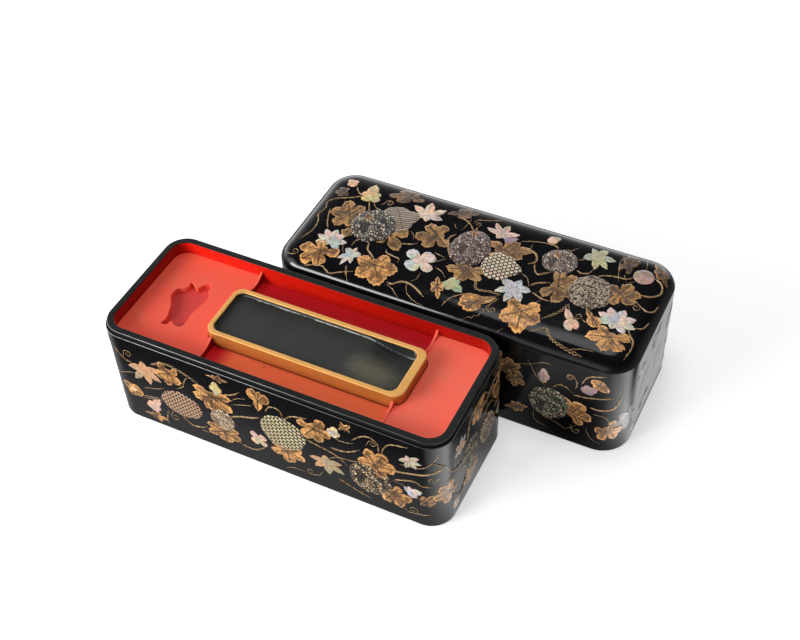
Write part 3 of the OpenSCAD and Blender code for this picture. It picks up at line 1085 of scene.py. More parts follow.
# style: strands, how far each swings from the middle, length of one twist, radius share, all in mm
VINE_STYLES = {
    "stem": (2, 0.30, 9.0, 0.85),
    "braid": (2, 0.75, 5.5, 0.8),
    "thick": (3, 0.45, 8.0, 0.9),
    "tendril": (1, 0.12, 4.5, 0.85),
    "hair": (1, 0.0, 1.0, 0.6),
    "wavy": (1, 0.6, 3.6, 0.7),
}


def strands(style, points, curl=None):
    """The centre lines of a vine's strands, each with its radius share and its lift along the way."""
    route = smooth_route(points)
    if curl:
        route = add_curl(route, *curl)
    count, swing, twist, thick = VINE_STYLES[style]
    line, at = even_route(route * MM, VINE_STEP)
    along = np.gradient(line, axis=0)
    along /= np.maximum(np.hypot(along[:, 0], along[:, 1]), 1e-12)[:, None]
    across = np.stack([-along[:, 1], along[:, 0]], axis=1)
    taper = np.clip(np.minimum(at / TAPER_START, (at[-1] - at) / TAPER_END), THINNEST, 1)
    found = []
    for k in range(count):
        phase = 2 * math.pi * (at / (twist * MM) + k / count)
        shift = swing * MM * np.sin(phase) * taper
        rise = STRAND_RISE * (1 + np.cos(phase)) if count > 1 else np.zeros_like(at)
        found.append((line + across * shift[:, None], thick * taper, rise))
    return found


def lay_vines(name, entries, finish, radius):
    """Lays every vine (surface, style, points, curl) as a round gold thread half sunk in the lacquer."""
    curve = bpy.data.curves.new(name, "CURVE")
    curve.dimensions = "3D"
    curve.bevel_depth = radius
    curve.bevel_resolution = 1
    curve.use_fill_caps = True
    for surface, style, points, *curl in entries:
        for line, thick, rise in strands(style, points, *curl):
            where = surface.at(line[:, 0], line[:, 1], rise)
            spline = curve.splines.new("POLY")
            spline.points.add(len(where) - 1)
            spline.points.foreach_set("co", np.hstack([where, np.ones((len(where), 1))]).ravel())
            spline.points.foreach_set("radius", thick)
    obj = bpy.data.objects.new(name, curve)
    bpy.context.scene.collection.objects.link(obj)
    deselect()
    obj.select_set(True)
    bpy.context.view_layer.objects.active = obj
    bpy.ops.object.convert(target="MESH")
    obj = bpy.context.object
    bpy.ops.object.shade_smooth()
    paint(obj, finish)
    return obj


# ---------------------------------------------------------------- what is laid where
#
# A leaf or shell piece is (shape, x, y, length, width, direction of its tip, tone) and may end with how far
# it is raised over what lies under it. A melon is (x, y, width, height, turn, finish) and may end likewise.
# A vine is (style, points) and may end with its spiral (radius, turns). On a wall, y is the height.

TONES = {
    "gold": (0.42, 0.225, 0.070),
    "bright": (0.72, 0.36, 0.110),
    # The darkest gold stands for painted shade along the back of the lid top.
    "faded": (0.22, 0.13, 0.066),
    "white": (0.90, 0.89, 0.87),
    "cream": (1.0, 0.84, 0.66),
    "pink": (1.0, 0.72, 0.60),
    "rose": (0.64, 0.44, 0.38),
    "sand": (0.74, 0.51, 0.29),
    "rubbed": (0.10, 0.075, 0.05),
    "mauve": (0.50, 0.34, 0.46),
    "blue": (0.64, 0.74, 0.82),
    "green": (0.60, 0.66, 0.43),
    "yellow": (0.90, 0.76, 0.42),
}

# On the top, leaves towards the front mostly take the bright tone as painted glare, and those along the back
# the darkest gold tone as painted shade.
TOP_LEAVES = [
    ("vine_leaf", -90.8, 4.9, 20, 25, 180, "gold"), ("vine_leaf", -62.6, 35.5, 23, 13, 200, "faded"),
    ("vine_leaf", -32, 9, 22, 22, 200, "gold"), ("trefoil", -53, -4, 22, 22, 310, "gold"),
    ("broad_leaf", -50.8, -32, 26, 26, -60, "bright"), ("vine_leaf", -90.8, -32.6, 24, 22, 240, "bright"),
    ("vine_leaf", -102.6, 23, 9, 9, 200, "faded"), ("bud", -82, -9.5, 8, 8, 80, "gold"),
    ("flower", -76, 7.4, 9, 6, -60, "bright", 0.9), ("long_leaf", -23, 35, 20, 10, 200, "faded"),
    ("vine_leaf", 16, 15.5, 28, 17, 20, "gold"), ("vine_leaf", -1.3, -12, 17, 24, -95, "gold"),
    ("flower", -9.4, 22, 8, 6, -90, "bright", 0.5), ("long_leaf", -10.6, -30.8, 18, 8, -65, "bright"),
    ("fan", 15.5, -31.5, 23, 14, 215, "bright"), ("broad_leaf", 43, -32, 25, 24, -80, "bright"),
    ("vine_leaf", 56.9, -1.4, 21, 27, -10, "gold"), ("vine_leaf", 91.9, 8.6, 20, 18, 20, "gold"),
    ("vine_leaf", 86.3, 35, 18, 10, 80, "faded"), ("long_leaf", 106.3, 33.6, 19, 8, -50, "gold"),
    ("vine_leaf", 95, -29, 19, 24, -100, "bright"), ("fan", 81, -17, 16, 8, -45, "bright"),
    ("disc", 44.4, 23.3, 4, 3, 20, "bright", 0.7),
]
TOP_SHELLS = [
    ("drop", -84.5, 29.3, 17, 13, 105, "yellow"), ("bud", -100.4, 33.6, 8, 8, 140, "pink"),
    ("star_leaf", -43.9, 27.4, 18, 22, 100, "cream"), ("many_leaf", -87.6, -18.3, 16, 20, 90, "white"),
    ("star_leaf", -70.8, -28.3, 18, 12, -100, "white"), ("petals", -30, -14.5, 20, 23, 60, "white"),
    ("star_leaf", 6.9, 29.3, 14, 22, 75, "pink"), ("drop", 13.8, 25, 9, 6, 30, "mauve", 0.1),
    ("bud", 37.5, 35.8, 9, 7, 40, "pink"), ("star_leaf", 30.6, -15, 21, 20, -100, "blue"),
    ("drop", -1.9, -25.8, 14, 11, -25, "green"), ("star_leaf", 68, 31, 20, 17, -45, "green"),
    ("disc", 97.5, 27, 12.5, 12, 0, "rose"), ("many_leaf", 95, -12, 17.5, 24, 80, "white"),
    ("trumpet", 69.5, -22.5, 19, 9, -57, "pink"),
]
TOP_MELONS = [
    (-57, 14.3, 27, 24, 35, "beige_net"), (-69.5, 1.8, 29, 30, 10, "dark_mosaic", 0.4),
    (-6.3, 8, 25, 33, 0, "purple_mosaic"), (17.5, 0.5, 25, 23, 5, "shell_squares", 0.3),
    (47.5, 19.3, 22, 21, 0, "grey_mosaic"), (73, 2.4, 27, 28, 15, "gold_plaid"),
]
TOP_VINES = [
    ("stem", [(-95.8, 30.5), (-92, 26.1), (-85.8, 23.6), (-82, 20.5), (-79.5, 15.5), (-77, 11.8)]),
    ("stem", [(-88.3, 24.3), (-94.5, 19.9), (-102, 16.1), (-106.4, 11.1), (-105, 4.5), (-106.4, -2),
              (-103.3, -8.3), (-102.9, -17.6), (-106.4, -27.6)]),
    ("stem", [(-102, 5.5), (-98.3, -5.1), (-95.1, -10.8), (-94, -12.6)]),
    ("tendril", [(-79.5, 23.6), (-77, 18.6), (-72, 16.8), (-69.5, 15.5)]),
    ("tendril", [(-73.9, 21.1), (-72, 26)], (2.6, -1.4)),
    ("tendril", [(-46.4, 6.8), (-43.3, 4.9), (-41.4, 0.5)]),
    ("stem", [(-47, -5.8), (-40.1, -3.3), (-37.6, -1.4)]),
    ("stem", [(-70.8, -12), (-73.3, -14.5), (-73.9, -19.5)]),
    ("thick", [(-65.1, -12.6), (-63.3, -18.3), (-58.9, -22), (-54.5, -25.8)]),
    ("stem", [(-52.6, -13.9), (-51.4, -16.4), (-46.4, -17.6), (-42, -18.3), (-41.4, -21.4)]),
    ("stem", [(-93.3, -44.5), (-83.3, -42), (-79.5, -43.3), (-75.8, -44.5), (-69.5, -42), (-62.6, -38.9)]),
    ("tendril", [(-108.9, -39.5), (-104, -40)], (2.6, 1.3)),
    ("stem", [(-68.9, -35.8), (-66.5, -41), (-63.3, -45.8)]), ("tendril", [(-78.9, -21.4), (-75.8, -27)]),
    ("thick", [(-19.4, 15.5), (-21.9, 10.5), (-18.8, 3), (-15, -3.9)]),
    ("tendril", [(-24.4, -4.5), (-16.9, -5.8)]), ("tendril", [(-21.3, -12), (-16.3, -7)]),
    ("stem", [(-22.5, 31.1), (-16.3, 28.6), (-11.9, 24.3), (-10, 21.8)]),
    ("tendril", [(-13.1, 29.3), (-12.5, 33), (-6.3, 35.5), (3.8, 39.9)]),
    ("tendril", [(-16.3, 33), (-16.9, 24.9), (-18.1, 19.9)]),
    ("tendril", [(-10, 27), (-9, 29)], (1.8, 1.2)),
    ("thick", [(22.5, 21.8), (27.5, 21.1), (32.5, 18.6), (34.4, 13), (30.6, 9.3)]),
    ("tendril", [(26.9, 26.8), (27.5, 21)]), ("tendril", [(19.4, 26.1), (28.8, 29.9), (40.6, 31.8)]),
    ("stem", [(34.4, 11.1), (36.9, 5.5), (40, 3.6), (45, 6.8)]),
    ("tendril", [(30, 0.5), (34.4, -1.4), (37.5, -5.8), (38.1, -8.3)]),
    ("thick", [(38.8, -7.6), (41.9, -3.6), (48.8, -0.1)]),
    ("braid", [(6.3, -11.4), (8.8, -18.3), (11.3, -22.6), (20, -21.4), (26.3, -21.4)]),
    ("tendril", [(-18.8, -15.8), (-13.8, -17.6), (-10, -21.4)]),
    ("stem", [(-2.5, -42.6), (0, -35.8), (3.8, -31.4), (10, -27.6), (19.4, -27), (25, -22.6)]),
    ("tendril", [(26.3, -25), (23.8, -30), (23.4, -34)], (2.6, 1.3)),
    ("wavy", [(26.3, -23.9), (23.1, -29.5), (21.3, -39.5), (16.9, -43.3), (12.5, -45.1)]),
    ("tendril", [(31.9, -19.5), (34.4, -27)]), ("tendril", [(33.1, -19.5), (35.8, -26.5)]),
    ("thick", [(-40, -38.9), (-36.3, -38.9), (-33.1, -35.8), (-28.8, -34.5), (-22.5, -36.4), (-15, -40.8)]),
    ("tendril", [(-28.8, -35.1), (-25.6, -41.4), (-20, -44.5), (-13.1, -45.4)]),
    ("tendril", [(-25, -23.3), (-25, -29.5), (-27.5, -32.6)]),
    ("tendril", [(-40, -40.1), (-35, -42), (-29.4, -45.8)]), ("tendril", [(34.4, -46.4), (36.9, -43.9)]),
    ("tendril", [(-24.4, 24.3), (-21.3, 20.5)]), ("stem", [(35, 31.1), (41.3, 30.5), (43.1, 27.4)]),
    ("tendril", [(47.5, 31), (50, 30.5), (51.9, 32.4), (54.4, 36.1)]),
    ("tendril", [(56.9, 24.9), (62.5, 28)]),
    ("stem", [(59.4, 16.1), (63.1, 14.9), (66.9, 16.8), (68.1, 21.1)]),
    ("stem", [(72.5, 16.8), (80, 19.9), (88.8, 21.1), (92.5, 24.9)]),
    ("tendril", [(81.3, 39.9), (80.6, 33.6), (82.5, 25.5), (85, 17.4)]),
    ("tendril", [(86.3, 24.3), (89.4, 18.6)]), ("tendril", [(90, 17.4), (93.8, 21.1)]),
    ("tendril", [(95, 43), (96.9, 33.6)]),
    ("thick", [(103.8, 28.6), (109.4, 24.9), (110.6, 18), (106.3, 13), (100, 11.8)]),
    ("stem", [(112.5, 9.3), (111.3, 3), (107.5, 1.1), (102.5, 3.6)]),
    ("tendril", [(94.4, 8), (99.5, 6), (103, 3.5)], (2.6, -1.3)),
    ("stem", [(111.9, -5.8), (110, -12.6), (104.4, -15.1)]),
    ("stem", [(103.1, -17), (106.3, -22), (108.8, -25.1), (109.4, -31.4), (108.1, -38.9)]),
    ("tendril", [(101.3, -24.5), (106, -26)], (2.4, 1.3)),
    ("braid", [(65, -12), (61.9, -20.8), (55, -29.5)]),
    ("tendril", [(65, -12), (68.8, -18.9), (72, -21)], (2.6, 1.2)),
    ("tendril", [(75.6, -19.5), (78.8, -21.4), (85, -20.1)]),
    ("stem", [(42.5, -12), (49.4, -14.5), (54.4, -14.5)]), ("tendril", [(49.4, -15.1), (46.9, -18.9)]),
    ("braid", [(51.9, -40.8), (56.9, -37.6), (60, -35.1), (62.5, -38.3), (66.3, -41.4), (72.5, -43.3),
               (78.8, -44.5), (85.6, -45.1)]),
    ("tendril", [(78.1, -43.3), (85, -41.4), (90.6, -40.8)]), ("tendril", [(46.3, 8.6), (40, 4.9)]),
]

FRONT_LEAVES = [
    ("vine_leaf", -65.3, 52.8, 19, 18, -100, "bright"), ("bud", -96, 26.6, 15.4, 11.5, 150, "bright"),
    ("vine_leaf", -36, 45, 20, 27, -95, "bright"), ("vine_leaf", -32.2, 15.8, 15, 23, -85, "bright"),
    ("flower", -30, 67, 15, 7, 0, "bright"), ("flower", -82.2, 7.4, 17, 9, 0, "bright"),
    ("fan", -3.8, 60, 19, 15, 80, "bright"), ("vine_leaf", 12, 20.5, 17, 23, -90, "bright"),
    ("vine_leaf", 32, 52, 19, 21, -70, "bright"), ("flower", 52, 65, 10.5, 9, 40, "bright"),
    ("vine_leaf", 72, 44, 21, 22, 60, "bright", 0.5), ("vine_leaf", 82, 18, 18, 21, -60, "bright"),
    ("long_leaf", 102, 24, 13, 10, 50, "gold"),
]
FRONT_SHELLS = [
    ("star_leaf", -82.2, 47.4, 20, 23, -80, "sand"), ("disc", -95, 27, 5, 4, 0, "cream", 0.3),
    ("bud", -32.2, 57.4, 11.5, 8.5, 90, "yellow"), ("drop", -80.7, 19, 15, 10, 55, "pink"),
    ("petals", -7.6, 23.5, 12, 14, 45, "pink"), ("bud", 45, 57.4, 10, 8.5, 80, "cream"),
    ("star_leaf", 38, 24, 17, 22, -85, "sand"), ("drop", 94, 29, 11, 10, 30, "white"),
    ("star_leaf", 92.7, 55.8, 11.5, 14.5, -60, "pink"),
]
FRONT_MELONS = [
    (-60, 29, 29, 22.5, 0, "mauve_net"), (-31.5, 29, 17, 18, 0, "cream_mosaic"),
    (10.4, 38, 30, 29, 0, "yellow_mosaic"), (66.5, 26.6, 27, 29, -20, "gold_mosaic"),
]
FRONT_VINES = [
    ("stem", [(-102, 62.4), (-98, 57), (-94.5, 53.5), (-90.7, 53)]),
    ("tendril", [(-96, 55.5), (-95.5, 60)], (3, -1.3)),
    ("braid", [(-76.8, 57.4), (-66.8, 62.8), (-57.6, 62), (-47.6, 58), (-41.5, 53.5), (-36, 51)]),
    ("stem", [(-51.5, 58), (-54.5, 52), (-56, 47.4), (-60.7, 43.5)]),
    ("tendril", [(-103.8, 37.4), (-97.6, 41.2), (-90.7, 43.5)]),
    ("tendril", [(-86.8, 32), (-76, 35.8), (-70.7, 38.9)]),
    ("tendril", [(-89, 23.5), (-82, 25.5), (-74.5, 26.6)]),
    ("tendril", [(-89, 21.8), (-82, 23.8), (-74.5, 24.9)]),
    ("stem", [(-71.5, 18), (-73.5, 11), (-73.8, 4.3)]), ("tendril", [(-67.6, 19.7), (-70, 15)], (3, 1.3)),
    ("stem", [(-61.5, 18), (-55.3, 12.8), (-49, 13.5), (-43.8, 16.6)]),
    ("tendril", [(-49, 11.2), (-42.2, 10.5)]), ("stem", [(-28.4, 53.5), (-20.7, 57.4), (-15.3, 62)]),
    ("tendril", [(-24.5, 49), (-18.4, 55), (-12.2, 57.4)]),
    ("tendril", [(-8.4, 53.5), (-15, 51), (-23, 47.4)]),
    ("thick", [(-24.5, 35.8), (-16.8, 39.7), (-10, 42), (-4.5, 45)]),
    ("stem", [(-24.5, 15.8), (-18.4, 12), (-10.7, 12), (-3, 18.2)]),
    ("stem", [(0.4, 52.8), (4.2, 59), (10.4, 59), (12.3, 52.8)]),
    ("stem", [(12, 51.2), (18, 57.4), (28, 60.5)]), ("tendril", [(45, 52), (51, 51.6), (57.3, 53.5)]),
    ("stem", [(56.5, 56.6), (62.7, 62.8), (68, 64.7), (72.7, 61.2), (73, 52)]),
    ("tendril", [(65, 56), (67, 60.5)], (2.6, -1.3)),
    ("stem", [(75, 52), (75.8, 58), (80.4, 65), (91, 67.8)]),
    ("tendril", [(85.8, 50.5), (98.8, 53.5), (105, 59), (110.4, 67.4)]),
    ("thick", [(81, 42), (91, 45), (106.5, 50.5), (112.7, 54.3)]),
    ("stem", [(82, 34.3), (94, 39.3), (99.6, 37.4), (105.8, 38.2)]),
    ("tendril", [(80.4, 33), (87, 32), (91, 30)]),
    ("tendril", [(85, 13.5), (89, 9), (93, 8.6)], (3.2, 1.3)),
    ("tendril", [(91, 8.2), (97.3, 9.7), (105, 11.2)]),
    ("tendril", [(39.6, 30.5), (45.8, 35), (55, 36.6), (61, 39)]),
    ("stem", [(25.8, 41.2), (45, 36.6), (52, 30.5)]), ("stem", [(42, 42), (52, 43.5), (61, 49.7)]),
    ("tendril", [(35, 15.8), (32, 10.5), (27.3, 8.6)], (2.6, -1.3)),
    ("stem", [(44.2, 15), (48.8, 13.5), (56.5, 10.5), (65.8, 7.4)]),
    ("hair", [(8.8, 5), (15, 8.2), (22.7, 8.2)]),
]

END_LEAVES = [
    ("vine_leaf", 2.7, 58, 17, 18, -90, "bright"), ("vine_leaf", -37, 28, 18, 18, 200, "bright"),
    ("vine_leaf", -8, 15, 14, 20, -90, "bright"), ("broad_leaf", 32, 51, 19, 18, -60, "bright"),
    ("flower", 38, 13, 14, 8, 20, "bright"),
]
END_SHELLS = [
    ("star_leaf", -22, 55, 14, 16, 80, "pink"), ("drop", 34, 29, 11, 9, 40, "green"),
    ("bud", -28, 10, 9, 8, 120, "cream"),
]
END_MELONS = [(-8, 33.5, 23, 24, 0, "gold_mosaic"), (15, 30.5, 20, 22, 15, "cream_mosaic", 0.3)]
END_VINES = [
    ("stem", [(-46, 60), (-38, 54), (-33, 45), (-24, 41), (-19, 39)]),
    ("stem", [(-14, 50), (-8, 64), (8, 66), (16, 60)]), ("braid", [(11, 54), (20, 60), (30, 63), (42, 61)]),
    ("stem", [(-30, 20), (-22, 13), (-14, 22)]), ("tendril", [(25, 36), (34, 40), (44, 36)]),
    ("tendril", [(-24, 36), (-31, 40), (-42, 39)]), ("tendril", [(4, 18), (14, 12), (24, 12)], (2.8, 1.3)),
    ("tendril", [(-40, 46), (-44, 42)], (2.4, -1.2)), ("stem", [(10, 44), (15, 49), (23, 46)]),
]

LID_RIGHT_LEAVES = [
    ("vine_leaf", 85, 30, 19, 24, 60, "bright"), ("bud", 99.4, 58, 13, 8.5, -30, "bright"),
    ("vine_leaf", 107, 18, 16, 17, -60, "bright"), ("long_leaf", 48.8, 16, 16, 9, 200, "bright"),
    ("vine_leaf", 43.8, 50.6, 14, 14, 100, "gold"), ("vine_leaf", 47.5, 40, 12.5, 12.5, -90, "gold"),
]
LID_RIGHT_SHELLS = [
    ("bud", 65, 51.9, 12.5, 7.5, 90, "pink"), ("bud", 93, 51.9, 10.6, 8, 20, "mauve"),
]
LID_RIGHT_MELONS = [(69.4, 29.4, 26, 27, 0, "green_mosaic")]
LID_RIGHT_VINES = [
    ("stem", [(85, 49.4), (85.5, 55), (83.5, 59)], (2.5, 1.3)), ("stem", [(88, 55), (92, 63), (102, 67.5)]),
    ("tendril", [(45.6, 53.8), (55.6, 57.5), (65, 63), (70, 62.5)]),
    ("tendril", [(55, 60.6), (60.6, 49.4), (66.9, 43)]),
    ("stem", [(70.6, 43.8), (75, 48.8), (80, 48), (83.8, 45)]),
    ("stem", [(83.8, 43.8), (91.9, 45), (97.5, 46.9), (108, 49.4)]),
    ("thick", [(94.4, 37.5), (100, 37.5), (108.8, 40), (112.5, 50)]),
    ("tendril", [(96.3, 32.5), (103.8, 31.9), (106.9, 26.3)]),
    ("tendril", [(84, 17), (85, 12)], (2.5, 1.3)), ("tendril", [(60, 18), (61.3, 10), (69.4, 6.9)]),
    ("tendril", [(65, 16.3), (75, 13.8), (80.6, 11.3), (86.9, 16.9)]),
    ("tendril", [(93, 18), (96.3, 10.6), (103, 6.9)]),
]


def mirrored_leaves(entries):
    return [(shape, -x, y, length, width, 180 - turn, *rest)
            for shape, x, y, length, width, turn, *rest in entries]


def mirrored_melons(entries):
    return [(-x, y, wide, tall, -turn, *rest) for x, y, wide, tall, turn, *rest in entries]


def mirrored_vines(entries):
    return [(style, [(-x, y) for x, y in points], *[(radius, -turns) for radius, turns in curl])
            for style, points, *curl in entries]


def rubbed(leaves, shells, melons):
    """The same pieces rubbed dull and flat; their vines are worn away."""
    dull = [[(*entry[:6], "rubbed", *entry[7:]) for entry in entries] for entries in (leaves, shells)]
    return dull[0] + [("disc", *entry[:5], "rubbed") for entry in melons], dull[1], [], []


def left_of(entries, limit, at):
    """The entries whose own place is left of a limit."""
    return [entry for entry in entries if at(entry) < limit]


def surfaces(sizes):
    """Every lacquered face that carries inlay: its body, its surface, and what is laid on it."""
    def box_side(side):
        return RoundedWall(BOX_LOW, BOX_HIGH, sizes.box_corner, side)

    def lid_side(side, down=0.0):
        low = (LID_LOW[0], LID_LOW[1], LID_LOW[2] - down)
        return RoundedWall(low, LID_HIGH, lid_corner(sizes), side)

    def first_x(vine):
        return vine[1][0][0]

    dome = DomedTop(TOP_LOW, TOP_HIGH, lid_corner(sizes), sizes.shoulder, TOP_LOW[2], TOP_HIGH[2])
    front = (FRONT_LEAVES, FRONT_SHELLS, FRONT_MELONS, FRONT_VINES)
    back = (mirrored_leaves(FRONT_LEAVES), mirrored_leaves(FRONT_SHELLS), mirrored_melons(FRONT_MELONS),
            mirrored_vines(FRONT_VINES))
    end = (END_LEAVES, END_SHELLS, END_MELONS, END_VINES)
    hidden = (left_of(FRONT_LEAVES, 38, lambda e: e[1]), left_of(FRONT_SHELLS, 30, lambda e: e[1]),
              left_of(FRONT_MELONS, 30, lambda e: e[0]), left_of(FRONT_VINES, 20, first_x))
    shown = (LID_RIGHT_LEAVES, LID_RIGHT_SHELLS, LID_RIGHT_MELONS, LID_RIGHT_VINES)
    top = (TOP_LEAVES, TOP_SHELLS, TOP_MELONS, TOP_VINES)
    low = 2 * MM
    return [
        ("box", [(box_side(0), front), (box_side(1), end), (box_side(2), back), (box_side(3), end)]),
        ("lid_wall", [(lid_side(0, low), hidden), (lid_side(0), shown), (lid_side(1, low), rubbed(*end[:3])),
                      (lid_side(2, low), back), (lid_side(3, low), end)]),
        ("lid_top", [(dome, top)]),
    ]


def lid_corner(sizes):
    """Radius of the lid's corners: the box corners', and the margin that the lid has round the box."""
    return sizes.box_corner + (LID_HIGH.x - LID_LOW.x - BOX_HIGH.x + BOX_LOW.x) / 2


# ---------------------------------------------------------------- finishes, made once each

# name: (size of a piece in mm, tints, lacquer between the pieces, width of the gap)
MOSAICS = {
    "dark_mosaic": (1.8, [(1.0, 0.80, 0.58), (0.62, 0.45, 0.30), (0.95, 0.78, 0.58), (0.16, 0.13, 0.10),
                          (1.0, 0.92, 0.74)], (0.016, 0.014, 0.012), 0.2),
    "gold_mosaic": (1.9, [(1.0, 0.70, 0.36), (0.60, 0.38, 0.19), (1.0, 0.80, 0.48), (0.28, 0.18, 0.10),
                          (1.0, 0.82, 0.54)], (0.02, 0.014, 0.010), 0.16),
    "purple_mosaic": (1.5, [(0.92, 0.62, 0.54), (0.44, 0.27, 0.24), (1.0, 0.78, 0.66), (0.30, 0.18, 0.16)],
                      (0.045, 0.024, 0.02), 0.2),
    "grey_mosaic": (1.5, [(0.98, 0.72, 0.56), (0.44, 0.29, 0.23), (1.0, 0.84, 0.66), (0.32, 0.20, 0.16)],
                    (0.05, 0.03, 0.024), 0.18),
    "green_mosaic": (1.9, [(1.0, 0.84, 0.50), (0.12, 0.18, 0.09), (1.0, 0.70, 0.58), (0.34, 0.46, 0.22),
                           (1.0, 0.92, 0.66)], (0.016, 0.015, 0.010), 0.14),
    "cream_mosaic": (1.6, [(1.0, 0.86, 0.62), (0.60, 0.40, 0.25), (1.0, 0.90, 0.68), (0.84, 0.62, 0.40)],
                     (0.20, 0.12, 0.07), 0.14),
}


# name: (height of a row in mm, two tints, what lies between, turn, length in rows, width of the gap)
NETS = {
    "beige_net": (1.8, (0.60, 0.47, 0.38), (0.44, 0.34, 0.28), (0.03, 0.022, 0.018), 0, 20.0, 0.4),
    "mauve_net": (2.5, (0.022, 0.018, 0.030), (0.05, 0.035, 0.045), (0.60, 0.37, 0.23), 20, 1.0, 0.42),
    "yellow_mosaic": (2.5, (1.0, 0.88, 0.60), (0.84, 0.72, 0.44), (0.045, 0.03, 0.018), 30, 1.3, 0.4),
    "shell_squares": (2.6, (1.0, 0.84, 0.64), (0.80, 0.62, 0.47), (0.03, 0.022, 0.018), -35, 1.05, 0.34),
}

FINISHES = {
    "polished_black": polished_black,
    "quiet_black": lambda colours: polished_black(colours, "quiet_black", 0.25),
    "worn_edge": worn_edge,
    "shaded_red": shaded_red,
    "rim_lacquer": rim_lacquer,
    "wall_red": wall_red,
    "deck_lacquer": deck_lacquer,
    "floor_lacquer": floor_lacquer,
    "gilt": gilt,
    "slate": slate,
    "sprinkled_gold": sprinkled_gold,
    "vine_gold": vine_gold,
    "shell": lambda _: shell(),
    "gold_plaid": lambda _: plaid(),
}


def make_finish(name, colours):
    if name in MOSAICS:
        return fragments(name, *MOSAICS[name])
    if name in NETS:
        return squares(name, *NETS[name])
    return FINISHES[name](colours)


def finish(context, name):
    return bpy.data.materials.get(name) or make_finish(name, context.scene.ink_box_colours)


# ---------------------------------------------------------------- operators

class InkBoxStep:
    """What every operator of the set shares."""

    bl_options = {"REGISTER", "UNDO"}


# name: (place, what it is aimed at, width, height)
LAMPS = {
    "key": ((-0.85, -1.08, 0.64), (0.03, 0.03, 0.05), 1.0, 0.5),
    "side": ((-0.93, -0.52, 0.70), (0.03, 0.03, 0.05), 0.8, 0.8),
    "top": ((0.10, 0.05, 1.30), (0.05, 0.03, 0.05), 0.5, 0.5),
    "glow": ((-0.07, 0.62, 1.0), (0.12, 0.07, 0.07), 0.32, 0.3),
}
WHITE = (1, 1, 1, 1)
FILL_LIGHT = 0.2
FLOOR_GLOW = 0.46

# Where the light that lacquer mirrors off the floor changes, from and to: by x or y, by distance, and round
# the front right corners by direction.
BEFORE_BOX_Y = (-90 * MM, -50 * MM)
RIGHT_OF_BOX_X = (90 * MM, 120 * MM)
BELOW_LID_X = (160 * MM, 190 * MM)
BESIDE_LID_X = (148 * MM, 195 * MM)
BESIDE_LID_END_X = (212 * MM, 230 * MM)
BESIDE_LID_Y = (-50 * MM, 0.0)
DARK_PATCH = (168 * MM, 30 * MM, 0.0)
DARK_PATCH_EDGE = (12 * MM, 40 * MM)
CORNER_RISE = (math.radians(-85), math.radians(-10))
CORNER_FALL = (math.radians(-8), math.radians(25))
CORNER_NEAR = 45 * MM
CORNER_REACH = (80 * MM, 100 * MM)
FOOT_LINE = (0.2 * MM, 0.9 * MM)


